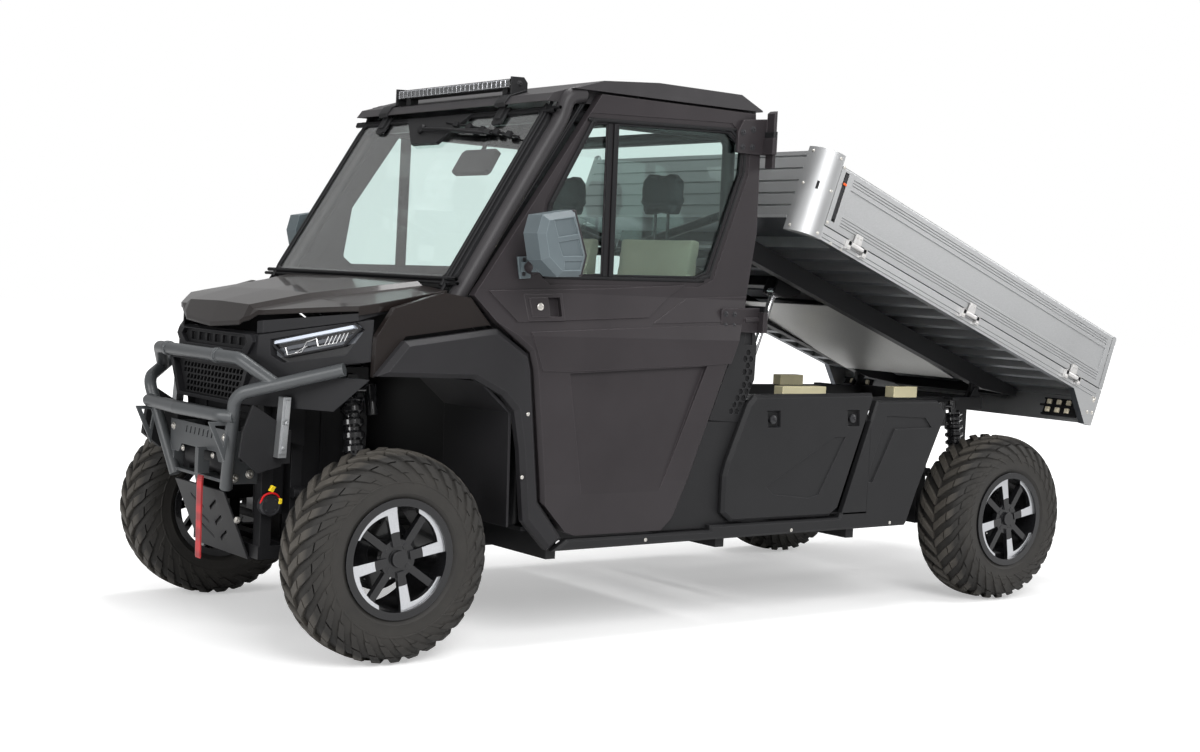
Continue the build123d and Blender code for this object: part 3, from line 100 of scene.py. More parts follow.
class Shading(Nodes):
    """A node material with a Principled shader, and the nodes that lead to it."""

    def __init__(self, name, **settings):
        self.material = bpy.data.materials.new(name)
        self.material.use_nodes = True
        super().__init__(self.material.node_tree)
        self.feed(**settings)

    def feed(self, **settings):
        self.fill(self.tree.nodes["Principled BSDF"], **settings)

    def ramp(self, source, stops):
        """A colour ramp fed by a socket; stops are (position, colour)."""
        node = self.make("ShaderNodeValToRGB", Fac=source)
        elements = node.color_ramp.elements
        while len(elements) < len(stops):
            elements.new(0.5)
        for element, (position, colour) in zip(elements, stops):
            element.position = position
            element.color = (*colour, 1)
        return node.outputs["Color"]

    def blend(self, source, first, second):
        """Two colours that pass into each other with a noise."""
        return self.ramp(source, [(0.3, first), (0.7, second)])

    def coordinates(self, scale=(1, 1, 1)):
        """Object coordinates stretched by scale."""
        return self.make("ShaderNodeMapping", Vector=self.source(), Scale=scale).outputs["Vector"]

    def noise(self, vector, scale, detail=4.0, rough=0.6):
        return self.make("ShaderNodeTexNoise", Vector=vector, Scale=scale, Detail=detail,
                         Roughness=rough).outputs["Fac"]

    def mixed(self, factor, first, second):
        """Mix of two colours, each a socket or a colour, by a factor socket."""
        first, second = ((*c, 1) if isinstance(c, tuple) else c for c in (first, second))
        return self.make("ShaderNodeMix", data_type="RGBA", Factor=factor, A=first, B=second).outputs["Result"]

    def rounded(self, radius):
        """A bevelled normal, and how far it turns from the face: 0 on a face, rising on an edge."""
        bevel = self.make("ShaderNodeBevel", Radius=radius, samples=4).outputs["Normal"]
        facing = self.vector("DOT_PRODUCT", bevel, self.make("ShaderNodeNewGeometry").outputs["True Normal"])
        return bevel, self.spread(facing, 0.0, 1.0, 0.995, 0.86)

    def relief(self, height, distance, strength, normal=None):
        """Fine relief, plain, over a bevelled normal, or over edges rounded by a radius."""
        node = self.make("ShaderNodeBump", Height=height, Distance=distance, Strength=strength)
        if isinstance(normal, float):
            normal = self.rounded(normal)[0]
        if normal:
            self.link(normal, node.inputs["Normal"])
        self.feed(Normal=node.outputs["Normal"])


def moulded(name, colour, roughness=0.5, grain=900.0, depth=0.00006, spread=0.12, coat=0.0, edge_radius=0.0035,
            edge_highlight=0.6, shine=0.2):
    """Moulded or powder-coated surface: fine grain, slight colour drift, rounded edges with a painted highlight along
    them.
    """
    made = Shading(name, Coat_Weight=coat, Specular_IOR_Level=shine)
    vector = made.coordinates()
    drift = made.noise(vector, 3.5, 5)
    base = made.blend(drift, shade(colour, 1 - spread), shade(colour, 1 + spread))
    normal, edge = made.rounded(edge_radius)
    # the rounded edges are mixed towards a colour three times lighter: a painted highlight
    made.feed(Base_Color=made.mixed(made.number("MULTIPLY", edge, edge_highlight), base, shade(colour, 3.0)),
              Roughness=made.spread(drift, roughness - 0.06, roughness + 0.08))
    made.relief(made.noise(vector, grain, 2), depth, 0.6, normal)
    return made.material


def paint(name, colour, flake=0.35):
    """Glossy metallic paint under a clear coat."""
    made = Shading(name, Specular_IOR_Level=0.2, Roughness=0.30, Coat_Weight=0.55, Coat_Roughness=0.04, Coat_IOR=1.4)
    vector = made.coordinates()
    flakes = made.make("ShaderNodeTexVoronoi", Vector=vector, Scale=2600.0)
    made.feed(Base_Color=made.ramp(flakes.outputs["Distance"], [(0.0, shade(colour, 1 + flake * 3)), (0.5, colour)]))
    made.relief(made.noise(vector, 160.0, 2), 0.00008, 0.35, 0.005)
    return made.material


def metal(name, colour, roughness=0.32, streak=(1, 1, 1), grain=260.0, depth=0.00004, spread=0.12):
    """Bare or anodised metal with streaks along one direction."""
    made = Shading(name, Metallic=0.9)
    lines = made.noise(made.coordinates(streak), grain, 3)
    drift = made.noise(made.coordinates(), 6.0, 4)
    made.feed(Base_Color=made.blend(lines, shade(colour, 1 - spread), shade(colour, 1 + spread / 2)),
              Roughness=made.spread(drift, roughness - 0.07, roughness + 0.10))
    made.relief(lines, depth, 0.5, 0.0015)
    return made.material


def glass(name, tint, roughness=0.0):
    made = Shading(name, Base_Color=(*tint, 1), Transmission_Weight=1.0, IOR=1.45)
    smear = made.noise(made.coordinates(), 9.0, 5)
    made.feed(Roughness=made.spread(smear, roughness, roughness + 0.012))
    return made.material


def tyre_rubber(name):
    """Rubber with pale dust on the tread and in streaks on the sidewall. The piece's origin is on its axis."""
    made = Shading(name, Roughness=0.62, Specular_IOR_Level=0.3)
    place = made.source()
    reach = made.vector("LENGTH", made.vector("MULTIPLY", place, (1, 0, 1), "Vector"))
    # share of dust by distance from the axis, from the bead to the crown
    stops = [(0.0, 0.10), (0.28, 0.22), (0.55, 0.25), (0.80, 0.15), (0.90, 0.10), (0.955, 0.75), (1.0, 1.0)]
    far = made.spread(reach, 0.0, 1.0, 0.178, TYRE_RADIUS)
    zone = made.ramp(far, [(position, (value,) * 3) for position, value in stops])
    amount = made.number("MULTIPLY", zone, made.noise(place, 9.0, 8, 0.7))
    made.feed(Base_Color=made.mixed(amount, (0.013, 0.0125, 0.012), (0.120, 0.108, 0.092)))
    made.relief(made.noise(place, 260.0, 5), 0.0005, 0.5, 0.0015)
    return made.material


def rim_black(name):
    """Gloss black wheel with machined faces on the hooked spokes."""
    made = Shading(name, Coat_Weight=0.25, Specular_IOR_Level=0.25)
    number = made.number
    source = made.make("ShaderNodeTexCoord")
    place, facing = (made.make("ShaderNodeSeparateXYZ", Vector=source.outputs[output]).outputs
                     for output in ("Object", "Normal"))
    out = number("ABSOLUTE", place["Y"])
    # the machined faces lie in one plane on the front wheels and in another on the rear ones
    front, rear = (number("LESS_THAN", number("ABSOLUTE", number("SUBTRACT", out, face)), 0.0009)
                   for face in (0.7445, 0.7570))
    outward = number("GREATER_THAN", number("ABSOLUTE", facing["Y"]), 0.92)
    # the wheel's axis, front or rear, gives the distance from the hub
    behind = number("LESS_THAN", place["X"], 0.0)
    axis_ahead = number("SUBTRACT", FRONT_AXLE, number("MULTIPLY", behind, AXLE_SPACING))
    ahead = number("SUBTRACT", place["X"], axis_ahead)
    height = number("SUBTRACT", place["Z"], TYRE_RADIUS)
    reach = number("SQRT", number("ADD", number("MULTIPLY", ahead, ahead), number("MULTIPLY", height, height)))
    away = number("GREATER_THAN", reach, 0.088)
    mask = number("MULTIPLY", number("MULTIPLY", number("MAXIMUM", front, rear), outward), away)
    turned = made.noise(made.coordinates(), 420.0, 3)
    bright = made.blend(turned, (0.46, 0.47, 0.49), (0.62, 0.63, 0.65))
    normal, edge = made.rounded(0.0025)
    # the black is painted five times lighter along the edges: a painted highlight
    black = made.mixed(edge, (0.010, 0.010, 0.011), (0.05, 0.05, 0.054))
    made.feed(Base_Color=made.mixed(mask, black, bright), Metallic=mask, Roughness=made.spread(mask, 0.20, 0.34))
    made.relief(turned, 0.00004, 0.4, normal)
    return made.material


def lamp_housing(name):
    """Black lamp housing whose running light along the top is pale and whose fins are satin."""
    made = Shading(name, Roughness=0.22, Coat_Weight=0.8)
    number = made.number
    place = made.make("ShaderNodeSeparateXYZ", Vector=made.source()).outputs
    out = number("ABSOLUTE", place["Y"])
    line = number("ADD", number("MULTIPLY", number("SUBTRACT", out, 0.350), 0.25735), 1.012)
    drop = number("SUBTRACT", place["Z"], line)
    strip = number("MULTIPLY", number("GREATER_THAN", drop, -0.0163), number("LESS_THAN", drop, -0.0037))
    strip = number("MULTIPLY", strip, number("GREATER_THAN", out, 0.3515))
    fins = number("MULTIPLY", number("GREATER_THAN", drop, -0.0623), number("LESS_THAN", drop, -0.0317))
    grain = made.noise(made.coordinates(), 500.0, 3)
    dark = made.blend(grain, (0.009, 0.009, 0.010), (0.014, 0.014, 0.016))
    satin = made.mixed(fins, dark, (0.075, 0.08, 0.09))
    made.feed(Base_Color=made.mixed(strip, satin, (0.58, 0.63, 0.72)))
    made.relief(grain, 0.00003, 0.4, 0.0015)
    return made.material


def deck_metal(name):
    """Anodised deck: silver above and at its sides, with painted shade on the faces that turn down underneath."""
    made = Shading(name, Metallic=0.85, Roughness=0.38)
    # faces that turn down get a dark colour, mottled by a noise: painted shade under the bed
    down = made.vector("DOT_PRODUCT", made.source("Normal"), (0.337, 0, -0.9415))
    under = made.spread(down, 0.0, 1.0, 0.3, 0.6)
    lines = made.noise(made.coordinates((0.4, 6, 6)), 260.0, 3)
    dust = made.noise(made.coordinates(), 7.0, 6)
    top = made.blend(lines, (0.44, 0.445, 0.45), (0.50, 0.505, 0.51))
    below = made.blend(dust, (0.085, 0.092, 0.105), (0.15, 0.16, 0.175))
    made.feed(Base_Color=made.mixed(under, top, below))
    made.relief(lines, 0.00004, 0.5, 0.0015)
    return made.material


def fabric(name, colour, scale=900.0):
    made = Shading(name, Roughness=0.7, Sheen_Weight=0.2)
    weave = made.make("ShaderNodeTexWave", Vector=made.coordinates(), Scale=scale / 3, Distortion=0.6).outputs["Fac"]
    made.feed(Base_Color=made.ramp(weave, [(0.2, shade(colour, 0.7)), (0.8, shade(colour, 1.15))]))
    made.relief(weave, 0.0003, 0.6)
    return made.material


def built(table):
    """Materials from rows of (maker, settings, ...), each named by its key."""
    return {name: maker(name, *settings) for name, (maker, *settings) in table.items()}


MATERIALS = built({
    "frame_black": (moulded, (0.012, 0.012, 0.013), 0.42, 500),
    "bumper_charcoal": (partial(moulded, shine=0.45), (0.058, 0.062, 0.065), 0.36, 700),
    "black_plastic": (moulded, (0.014, 0.014, 0.015), 0.48),
    "cast_black": (moulded, (0.018, 0.018, 0.018), 0.55, 220, 0.0004),
    "cage_black": (moulded, (0.012, 0.012, 0.013), 0.34, 700),
    "roof_grey": (moulded, (0.036, 0.034, 0.036), 0.40, 1000),
    "fascia_charcoal": (moulded, (0.013, 0.013, 0.0145), 0.42, 1000),
    "flare_plastic": (moulded, (0.016, 0.0155, 0.017), 0.46, 1000),
    "door_grey": (moulded, (0.026, 0.0225, 0.0245), 0.40, 1100),
    "mirror_grey": (moulded, (0.098, 0.120, 0.130), 0.38, 1000),
    "pad_cream": (moulded, (0.70, 0.64, 0.42), 0.6, 120, 0.0004),
    "body_paint": (paint, (0.0105, 0.0078, 0.0072)),
    "bed_aluminium": (metal, (0.42, 0.425, 0.43), 0.45, (0.4, 6, 6)),
    "guard_sheet": (metal, (0.62, 0.62, 0.60), 0.42),
    "chrome": (metal, (0.75, 0.75, 0.76), 0.12),
    "rim_black": (rim_black,),
    "cab_glass": (glass, (0.96, 0.985, 0.98)),
    "lamp_glass": (glass, (0.95, 0.97, 1.0)),
    "tail_lamp_red": (moulded, (0.30, 0.008, 0.008), 0.2, 300, 0.00002, 0.1, 0.8),
    "tyre": (tyre_rubber,),
    "strap_red": (fabric, (0.42, 0.012, 0.016)),
    "seat_vinyl": (moulded, (0.44, 0.385, 0.30), 0.55, 420, 0.0004, 0.08),
})
FINISHES = built({
    # finishes of small pieces and of single nodes, each named with the slot that it belongs to
    "door_glass": (glass, (0.68, 0.85, 0.81)),
    # the seal and the dark bolts set their own strength of the painted edge highlight
    "seal": (partial(moulded, edge_radius=0.001, edge_highlight=0.2), (0.008, 0.008, 0.009), 0.55, 400),
    "dark_bolt": (partial(moulded, edge_radius=0.0008, edge_highlight=1.0), (0.022, 0.022, 0.024), 0.30, 600),
    "steel_bolt": (metal, (0.62, 0.60, 0.56), 0.30),
    "cast_silver": (metal, (0.62, 0.61, 0.60), 0.45, (1, 1, 1), 90, 0.0002),
    "bracket_grey": (metal, (0.40, 0.41, 0.42), 0.45),
    "box_grey": (moulded, (0.36, 0.38, 0.39), 0.45, 500),
    "pale_lamp": (moulded, (0.62, 0.56, 0.42), 0.35, 300),
    "clear_lens": (glass, (0.97, 0.98, 1.0)),
    "headrest_dark": (moulded, (0.030, 0.030, 0.034), 0.6, 420, 0.0004, 0.08),
    "orange": (moulded, (0.70, 0.09, 0.015), 0.4, 400),
    "wire_red": (moulded, (0.45, 0.01, 0.012), 0.4, 400),
    "wire_yellow": (moulded, (0.75, 0.55, 0.02), 0.4, 400),
    "coil_black": (partial(moulded, coat=1.0), (0.010, 0.010, 0.011), 0.14, 700, 0.00002),
    "housing": (lamp_housing,),
    "deck": (deck_metal,),
})
slot_of = {s["node"]: s["material_slot"] for s in frame["record"]["subparts"]}
for name, node in nodes.items():
    node.data.materials.clear()
    node.data.materials.append(MATERIALS[slot_of[name]])
for name, finish in (("door_glass_left", "door_glass"), ("door_glass_right", "door_glass"), ("headlamps", "housing"),
                     ("bed_deck", "deck"), ("shocks", "coil_black")):
    nodes[name].data.materials[0] = FINISHES[finish]

# ---- Pieces: places in the vehicle's frame, millimetres ahead of the front axle, left and up ----
BED_TILT = math.radians(19.7)
BED_AHEAD, BED_HEIGHT = -1763, 1500
SCREEN_RAKE = math.radians(31.84)
SCREEN_AHEAD, SCREEN_HEIGHT = -213, 1229
DOOR_SKIN = [(360, 728), (560, 745), (1060, 745), (1205, 703), (1900, 694)]
LEFT = Vector((0, 1, 0))


def at(ahead, out, height):
    return Vector((FRONT_AXLE + ahead / 1000, out / 1000, height / 1000))


def on_bed(forward, out, above):
    """A point in the raised bed's own frame."""
    run, rise = math.cos(BED_TILT), math.sin(BED_TILT)
    return at(BED_AHEAD + forward * run - above * rise, out, BED_HEIGHT + forward * rise + above * run)


def on_screen(out, up, proud):
    """A point on the windscreen, measured left, up the glass and out from it."""
    back, lift = math.sin(SCREEN_RAKE), math.cos(SCREEN_RAKE)
    return at(SCREEN_AHEAD - up * back + proud * lift, out, SCREEN_HEIGHT + up * lift + proud * back)


BED_ALONG = on_bed(1000, 0, 0) - on_bed(0, 0, 0)
SCREEN_OUT = on_screen(0, 0, 1000) - on_screen(0, 0, 0)


def door_face(height):
    """How far out the door's face is at a height."""
    for (low, first), (high, second) in zip(DOOR_SKIN, DOOR_SKIN[1:]):
        if height <= high:
            return first + (second - first) * (height - low) / (high - low)
    return DOOR_SKIN[-1][1]


def bridge(bm, first, second, closed=True):
    """Faces between two rings, or two rows, of as many points."""
    count = len(first)
    for k in range(count if closed else count - 1):
        j = (k + 1) % count
        bm.faces.new((first[k], first[j], second[j], second[k]))


def prism(bm, corners, depth):
    """A plate from its corners and a depth vector."""
    low = [bm.verts.new(c) for c in corners]
    high = [bm.verts.new(c + depth) for c in corners]
    bm.faces.new(low)
    bm.faces.new(high)
    bridge(bm, low, high)


def rectangle(first, second, low, high):
    """Corners of an upright rectangle, from one end to the other and from low to high."""
    return (first, low), (second, low), (second, high), (first, high)


def front_plate(bm, side, ahead, outline, thickness):
    """A plate across the vehicle, from its (out, height) outline; the thickness, in metres, grows forward."""
    prism(bm, [at(ahead, side * y, z) for y, z in outline], Vector((thickness, 0, 0)))


def side_plate(bm, side, out, outline, thickness):
    """A plate parallel to the vehicle's side, from its (ahead, height) outline; the thickness is in metres."""
    prism(bm, [at(a, side * out, z) for a, z in outline], side * thickness * LEFT)


def screen_plate(bm, proud, outline, thickness):
    """A plate on the windscreen, from its (out, up) outline; the thickness, in metres, grows away from the glass."""
    prism(bm, [on_screen(y, u, proud) for y, u in outline], thickness * SCREEN_OUT)


def bed_plate(bm, side, out, outline, thickness):
    """A plate parallel to the bed's side, from its (forward, above) outline in the bed's own frame."""
    prism(bm, [on_bed(s, side * out, n) for s, n in outline], side * thickness * LEFT)


def circle(k, sides):
    """Cosine and sine of the k-th of so many equal steps round a circle."""
    return math.cos(2 * math.pi * k / sides), math.sin(2 * math.pi * k / sides)


def lathed(bm, centre, axis, profile, sides=20):
    """A turned shape from (radius, height along the axis) points in metres; only the last radius may be 0."""
    axis = axis.normalized()
    across = axis.orthogonal().normalized()
    third = axis.cross(across)
    rings = []
    for radius, along in profile:
        if radius < 1e-6:
            rings.append([bm.verts.new(centre + axis * along)])
        else:
            turns = [circle(k, sides) for k in range(sides)]
            rings.append([bm.verts.new(centre + axis * along + radius * (c * across + s * third)) for c, s in turns])
    for first, second in zip(rings, rings[1:]):
        if len(second) == 1:
            for k in range(sides):
                bm.faces.new((first[k], first[(k + 1) % sides], second[0]))
        else:
            bridge(bm, first, second)
    for end in (rings[0], rings[-1]):
        if len(end) > 1:
            bm.faces.new(end)


def bolt(bm, place, axis, radius=0.008, height=0.006):
    """A washer and a socket-head screw."""
    lathed(bm, place, axis,
           [(radius * 1.5, 0), (radius * 1.5, height * 0.2), (radius * 1.4, height * 0.3), (radius, height * 0.3),
            (radius, height * 0.8), (radius * 0.8, height), (radius * 0.5, height), (radius * 0.42, height * 0.6),
            (0, height * 0.6)], 14)


def pipe(bm, points, radius, sides=10, closed=False, flat=1.0, steps=6):
    """A round or flattened bar along a smooth line through the points."""
    count = len(points)
    line = []
    spans = count if closed else count - 1
    for i in range(spans):
        p0 = points[(i - 1) % count] if closed or i > 0 else points[0]
        p1, p2 = points[i], points[(i + 1) % count]
        p3 = points[(i + 2) % count] if closed or i + 2 < count else points[-1]
        for k in range(steps):
            u = k / steps
            line.append(0.5 * (2 * p1 + (p2 - p0) * u + (2 * p0 - 5 * p1 + 4 * p2 - p3) * u * u
                               + (3 * p1 - p0 - 3 * p2 + p3) * u ** 3))
    if not closed:
        line.append(points[-1].copy())
    rings = []
    side = None
    for i, p in enumerate(line):
        after = line[(i + 1) % len(line)] if closed or i + 1 < len(line) else p
        before = line[i - 1] if closed or i > 0 else p
        along = (after - before).normalized()
        side = along.orthogonal() if side is None else side - side.dot(along) * along
        side.normalize()
        other = along.cross(side)
        turns = [circle(k, sides) for k in range(sides)]
        rings.append([bm.verts.new(p + radius * (c * side + flat * s * other)) for c, s in turns])
    last = len(rings) if closed else len(rings) - 1
    for i in range(last):
        a, b = rings[i], rings[(i + 1) % len(rings)]
        if closed and i == last - 1:
            turn = min(range(sides), key=lambda s: (a[0].co - b[s].co).length)
            b = b[turn:] + b[:turn]
        bridge(bm, a, b)
    if not closed:
        bm.faces.new(rings[0])
        bm.faces.new(rings[-1])


def beading(bm, outline, radius, sides=8):
    """A bead along a closed outline whose corners stay tight."""
    fine = []
    for i, here in enumerate(outline):
        before, after = outline[i - 1], outline[(i + 1) % len(outline)]
        for other, share in ((before, 0.12), (before, 0.04), (after, 0.04), (after, 0.12)):
            fine.append(here + (other - here) * min(share, 0.018 / max((other - here).length, 1e-6)))
    pipe(bm, fine, radius, sides, closed=True, steps=3)


def linked(name, data):
    """A new object in the scene, from a mesh, lamp or camera."""
    made = bpy.data.objects.new(name, data)
    bpy.context.scene.collection.objects.link(made)
    return made


def meshed(name, bm):
    """A new object from a drawn mesh, with its faces turned outwards."""
    bmesh.ops.recalc_face_normals(bm, faces=bm.faces)
    mesh = bpy.data.meshes.new(name)
    bm.to_mesh(mesh)
    bm.free()
    return linked(name, mesh)


def modifier(made, kind, **values):
    added = made.modifiers.new(kind.lower(), kind)
    for key, value in values.items():
        setattr(added, key, value)
    return added


def piece(name, bm, body, slot, finish=None, bevel=0.0, replaces=(), origin=None, sharp=38):
    """Finish a mesh as a piece that rides on a body. Edges sharper than an angle, in degrees, stay sharp."""
    made = meshed(name, bm)
    if origin is not None:
        made.location = origin
    made.data.shade_smooth()
    made.data.set_sharp_from_angle(angle=math.radians(sharp))
    if bevel:
        modifier(made, "BEVEL", width=bevel, segments=2, limit_method="ANGLE", angle_limit=math.radians(35))
    made.data.materials.append(FINISHES[finish] if finish else MATERIALS[slot])
    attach(made, body)
    if replaces:
        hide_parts(*replaces)
    return made


CHASSIS = ("chassis", "chassis")
DOORS = ("door_left", "door_right")
BED = ("bed", "bed")
GATES = ("gate_left", "gate_right")
LIDS = ("storage_lid_left", "storage_lid_right")


def both_sides(bodies, slot, finish=None, bevel=0.0):
    """Draw the same trim on the left and, mirrored, on the right. The function that draws it names the pieces."""
    def draw(trim):
        for side, word, body in ((1, "left", bodies[0]), (-1, "right", bodies[1])):
            bm = bmesh.new()
            trim(bm, side)
            piece(f"{trim.__name__}_{word}", bm, body, slot, finish, bevel)

    return draw


# ---- Tyres ----
LUGS = 30
TYRE_SIDES = 120
WHEEL_OUT = 652.5
FRONT_HALF, REAR_HALF = 0.113, 0.1255


def carcass(half):
    """Half of the carcass section, from the crown to the bead, as (across, radius)."""
    wall = [(0, 0.3290), (0.35, 0.3285), (0.60, 0.3250), (0.75, 0.3165), (0.86, 0.3020), (0.925, 0.2830),
            (0.955, 0.2620), (0.955, 0.2520), (0.968, 0.2505), (0.968, 0.2465), (0.952, 0.2450), (0.945, 0.2300),
            (0.915, 0.2140), (0.920, 0.2110), (0.905, 0.2080)]
    bead = [(half - 0.018, 0.1980), (half - 0.020, 0.1945), (half - 0.025, 0.1780)]
    return [(share * half, radius) for share, radius in wall] + bead


def along_section(section, distance):
    """The point and outward normal at a distance along the section, from the crown."""
    for (a0, r0), (a1, r1) in zip(section, section[1:]):
        run = math.hypot(a1 - a0, r1 - r0)
        if distance <= run:
            share = distance / run
            return (a0 + (a1 - a0) * share, r0 + (r1 - r0) * share), ((r0 - r1) / run, (a1 - a0) / run)
        distance -= run
    return section[-1], (1, 0)


def lug_block(bm, section, row, angle, start, stop, widths, heights, steps=5):
    """A block of tread that follows the section from start to stop, slanting round the tyre as it goes."""
    rings = []
    for k in range(steps):
        share = k / (steps - 1)
        distance = start + (stop - start) * share
        (across, radius), (side_part, up_part) = along_section(section, distance)
        size = math.hypot(side_part, up_part)
        side_part, up_part = side_part / size, up_part / size
        width = widths[0] + (widths[1] - widths[0]) * share
        height = heights[0] + (heights[1] - heights[0]) * share
        shift = 0.88 * distance + 0.56 * max(0.0, distance - 0.085)
        ring = []
        for sideways, lift in ((-0.5, -0.003), (-0.46, height - 0.0022), (-0.40, height), (0.40, height),
                               (0.46, height - 0.0022), (0.5, -0.003)):
            turn = angle + (shift + sideways * width) / TYRE_RADIUS
            r = min(radius + up_part * lift, TYRE_RADIUS)
            y = row * (across + side_part * lift)
            ring.append(bm.verts.new((r * math.cos(turn), y, r * math.sin(turn))))
        rings.append(ring)
    for first, second in zip(rings, rings[1:]):
        bridge(bm, first, second, closed=False)
    bm.faces.new(rings[0])
    bm.faces.new(rings[-1])


for corner, axle, side, half in (("fl", 0, 1, FRONT_HALF), ("fr", 0, -1, FRONT_HALF),
                                 ("rl", 1, 1, REAR_HALF), ("rr", 1, -1, REAR_HALF)):
    section = carcass(half)
    full = [(-a, r) for a, r in reversed(section)] + section[1:]
    bm = bmesh.new()
    turns = [circle(k, TYRE_SIDES) for k in range(TYRE_SIDES)]
    rings = [[bm.verts.new((r * c, a, r * s)) for c, s in turns] for a, r in full]
    for first, second in zip(rings, rings[1:] + rings[:1]):
        bridge(bm, first, second)
    for row in (-1, 1):
        for lug in range(LUGS):
            angle = (lug + (0.5 if row == 1 else 0.0)) * 2 * math.pi / LUGS
            step = 0.008 if lug % 2 else 0.0
            grow = half / FRONT_HALF
            lug_block(bm, section, row, angle, 0.003, (0.046 + step) * grow, (0.034, 0.037), (0.014, 0.0138), 4)
            lug_block(bm, section, row, angle, (0.051 + step) * grow, 0.098 * grow, (0.038, 0.041), (0.0136, 0.0110), 5)
            lug_block(bm, section, row, angle, 0.102 * grow, 0.132 * grow, (0.041, 0.036), (0.0100, 0.0055), 4)
            lug_block(bm, section, row, angle, 0.134 * grow, 0.168 * grow, (0.024, 0.012), (0.0040, 0.0010), 4)
    piece(f"tread_{corner}", bm, f"wheel_{corner}", "tyre", replaces=(f"tyre_{corner}",),
          origin=at(-1000 * AXLE_SPACING * axle, side * WHEEL_OUT, 1000 * TYRE_RADIUS), sharp=32)


# ---- Seats: padded pieces, blown up with Cloth ----
CLOTH_STEPS = 20
SEAM_WIDTH = 0.006
SEAT_OUT = 310


def evaluated(made):
    graph = bpy.context.evaluated_depsgraph_get()
    return bpy.data.meshes.new_from_object(made.evaluated_get(graph), depsgraph=graph)


def inflated(name, bm, voxel, cap, seams=()):
    """A pad mesh: remeshed, blown up a little with Cloth, and drawn in along its seams."""
    made = meshed(name, bm)
    for kind, values in (("REMESH", {"mode": "VOXEL", "voxel_size": voxel}), ("SMOOTH", {"iterations": 6})):
        modifier(made, kind, **values)
        made.data = evaluated(made)
        made.modifiers.clear()
    rest = [v.co.copy() for v in made.data.vertices]
    cloth = modifier(made, "CLOTH")
    cloth.settings.use_pressure = True
    cloth.settings.uniform_pressure_force = 4.0
    cloth.settings.effector_weights.gravity = 0.0
    cloth.settings.quality = 4
    scene = bpy.context.scene
    for step in range(1, CLOTH_STEPS + 1):
        scene.frame_set(step)
    blown = [v.co.copy() for v in evaluated(made).vertices]
    made.modifiers.clear()
    scene.frame_set(1)
    for vertex, start, end in zip(made.data.vertices, rest, blown):
        move = end - start
        if move.length > cap:
            move *= cap / move.length
        vertex.co = start + move
    normals = [v.normal.copy() for v in made.data.vertices]
    for vertex, normal in zip(made.data.vertices, normals):
        for axis, level, depth in seams:
            near = (vertex.co[axis] - level) / SEAM_WIDTH
            vertex.co -= normal * depth * math.exp(-near * near)
    made.data.shade_smooth()
    made.data.materials.clear()
    made.data.materials.append(MATERIALS["seat_vinyl"])
    return made


def pad(name, made, node, mirrored=False):
    """Attach a pad to the chassis in place of its node, or its mirror image on the other seat."""
    if mirrored:
        twin = linked(name, made.data.copy())
        for vertex in twin.data.vertices:
            vertex.co.y = -vertex.co.y
        twin.data.flip_normals()
        made = twin
    modifier(made, "SUBSURF", levels=1, render_levels=1)
    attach(made, "chassis")
    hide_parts(node)
    return made


def seat_prism(outline, half):
    """A seat's block from its side outline (ahead, height) and half width."""
    bm = bmesh.new()
    side_plate(bm, 1, SEAT_OUT + half, outline, -half / 500)
    return bm


cushion = inflated("seat_cushion_left", seat_prism([(-1328, 612), (-892, 612), (-884, 640), (-900, 682), (-980, 692),
                                                    (-1328, 682)], 226), 0.009, 0.012,
                   [(1, 0.400, 0.006), (1, 0.220, 0.006)])
back = inflated("seat_back_left", seat_prism([(-1262, 712), (-1330, 712), (-1362, 1428), (-1322, 1430), (-1290, 1200),
                                              (-1252, 900)], 222), 0.009, 0.012, [(2, 1.25, 0.006), (2, 0.95, 0.006)])
bm = bmesh.new()
outline = [(-84, 1512), (-112, 1560), (-104, 1640), (-70, 1668), (70, 1668), (104, 1640), (112, 1560), (84, 1512)]
front_plate(bm, 1, -1368, [(SEAT_OUT + y, z) for y, z in outline], 0.046)
rest = inflated("headrest_left", bm, 0.006, 0.009, [(2, 1.545, 0.004)])
rest.data.materials[0] = FINISHES["headrest_dark"]
for made, node in ((cushion, "seat_cushions"), (back, "seat_backs"), (rest, "seat_backs")):
    right_name = made.name.replace("_left", "_right")
    pad(right_name, made, node, mirrored=True)
    pad(made.name, made, node)
for side, word in ((1, "left"), (-1, "right")):
    bm = bmesh.new()
    for post in (-38, 38):
        lathed(bm, at(-1345, side * SEAT_OUT + post, 1418), Vector((0, 0, 1)),
               [(0.006, 0), (0.006, 0.105), (0.005, 0.107)], 12)
    piece(f"headrest_posts_{word}", bm, "chassis", "black_plastic", "dark_bolt")

# ---- Winch strap: a doubled length of webbing that hangs from the bumper's hook ----
bm = bmesh.new()
drop = [(375.6, 541), (379.0, 520), (378.2, 440), (376.6, 360), (375.4, 268), (374.0, 262), (372.6, 268), (373.8, 360),
        (374.8, 440), (374.6, 520), (372.0, 541)]
rows = []
for ahead, height in drop:
    rows.append([bm.verts.new(at(ahead, 44 + 40 * k / 6, height)) for k in range(7)])
for first, second in zip(rows, rows[1:]):
    bridge(bm, first, second, closed=False)
strap = piece("winch_webbing", bm, "chassis", "strap_red", replaces=("winch_strap",))
modifier(strap, "SOLIDIFY", thickness=0.0012, offset=0)

# ---- Doors ----
WINDOW = [(-726, 1790), (-560, 1500), (-528, 1295), (-572, 1262), (-1205, 1276), (-1258, 1296), (-1398, 1665),
          (-1402, 1755), (-1330, 1812)]


def inward(outline, step):
    """An outline moved towards its middle by a step."""
    cx = sum(a for a, _ in outline) / len(outline)
    cz = sum(z for _, z in outline) / len(outline)
    moved = []
    for a, z in outline:
        away = math.hypot(a - cx, z - cz)
        moved.append((a - (a - cx) / away * step, z - (z - cz) / away * step))
    return moved


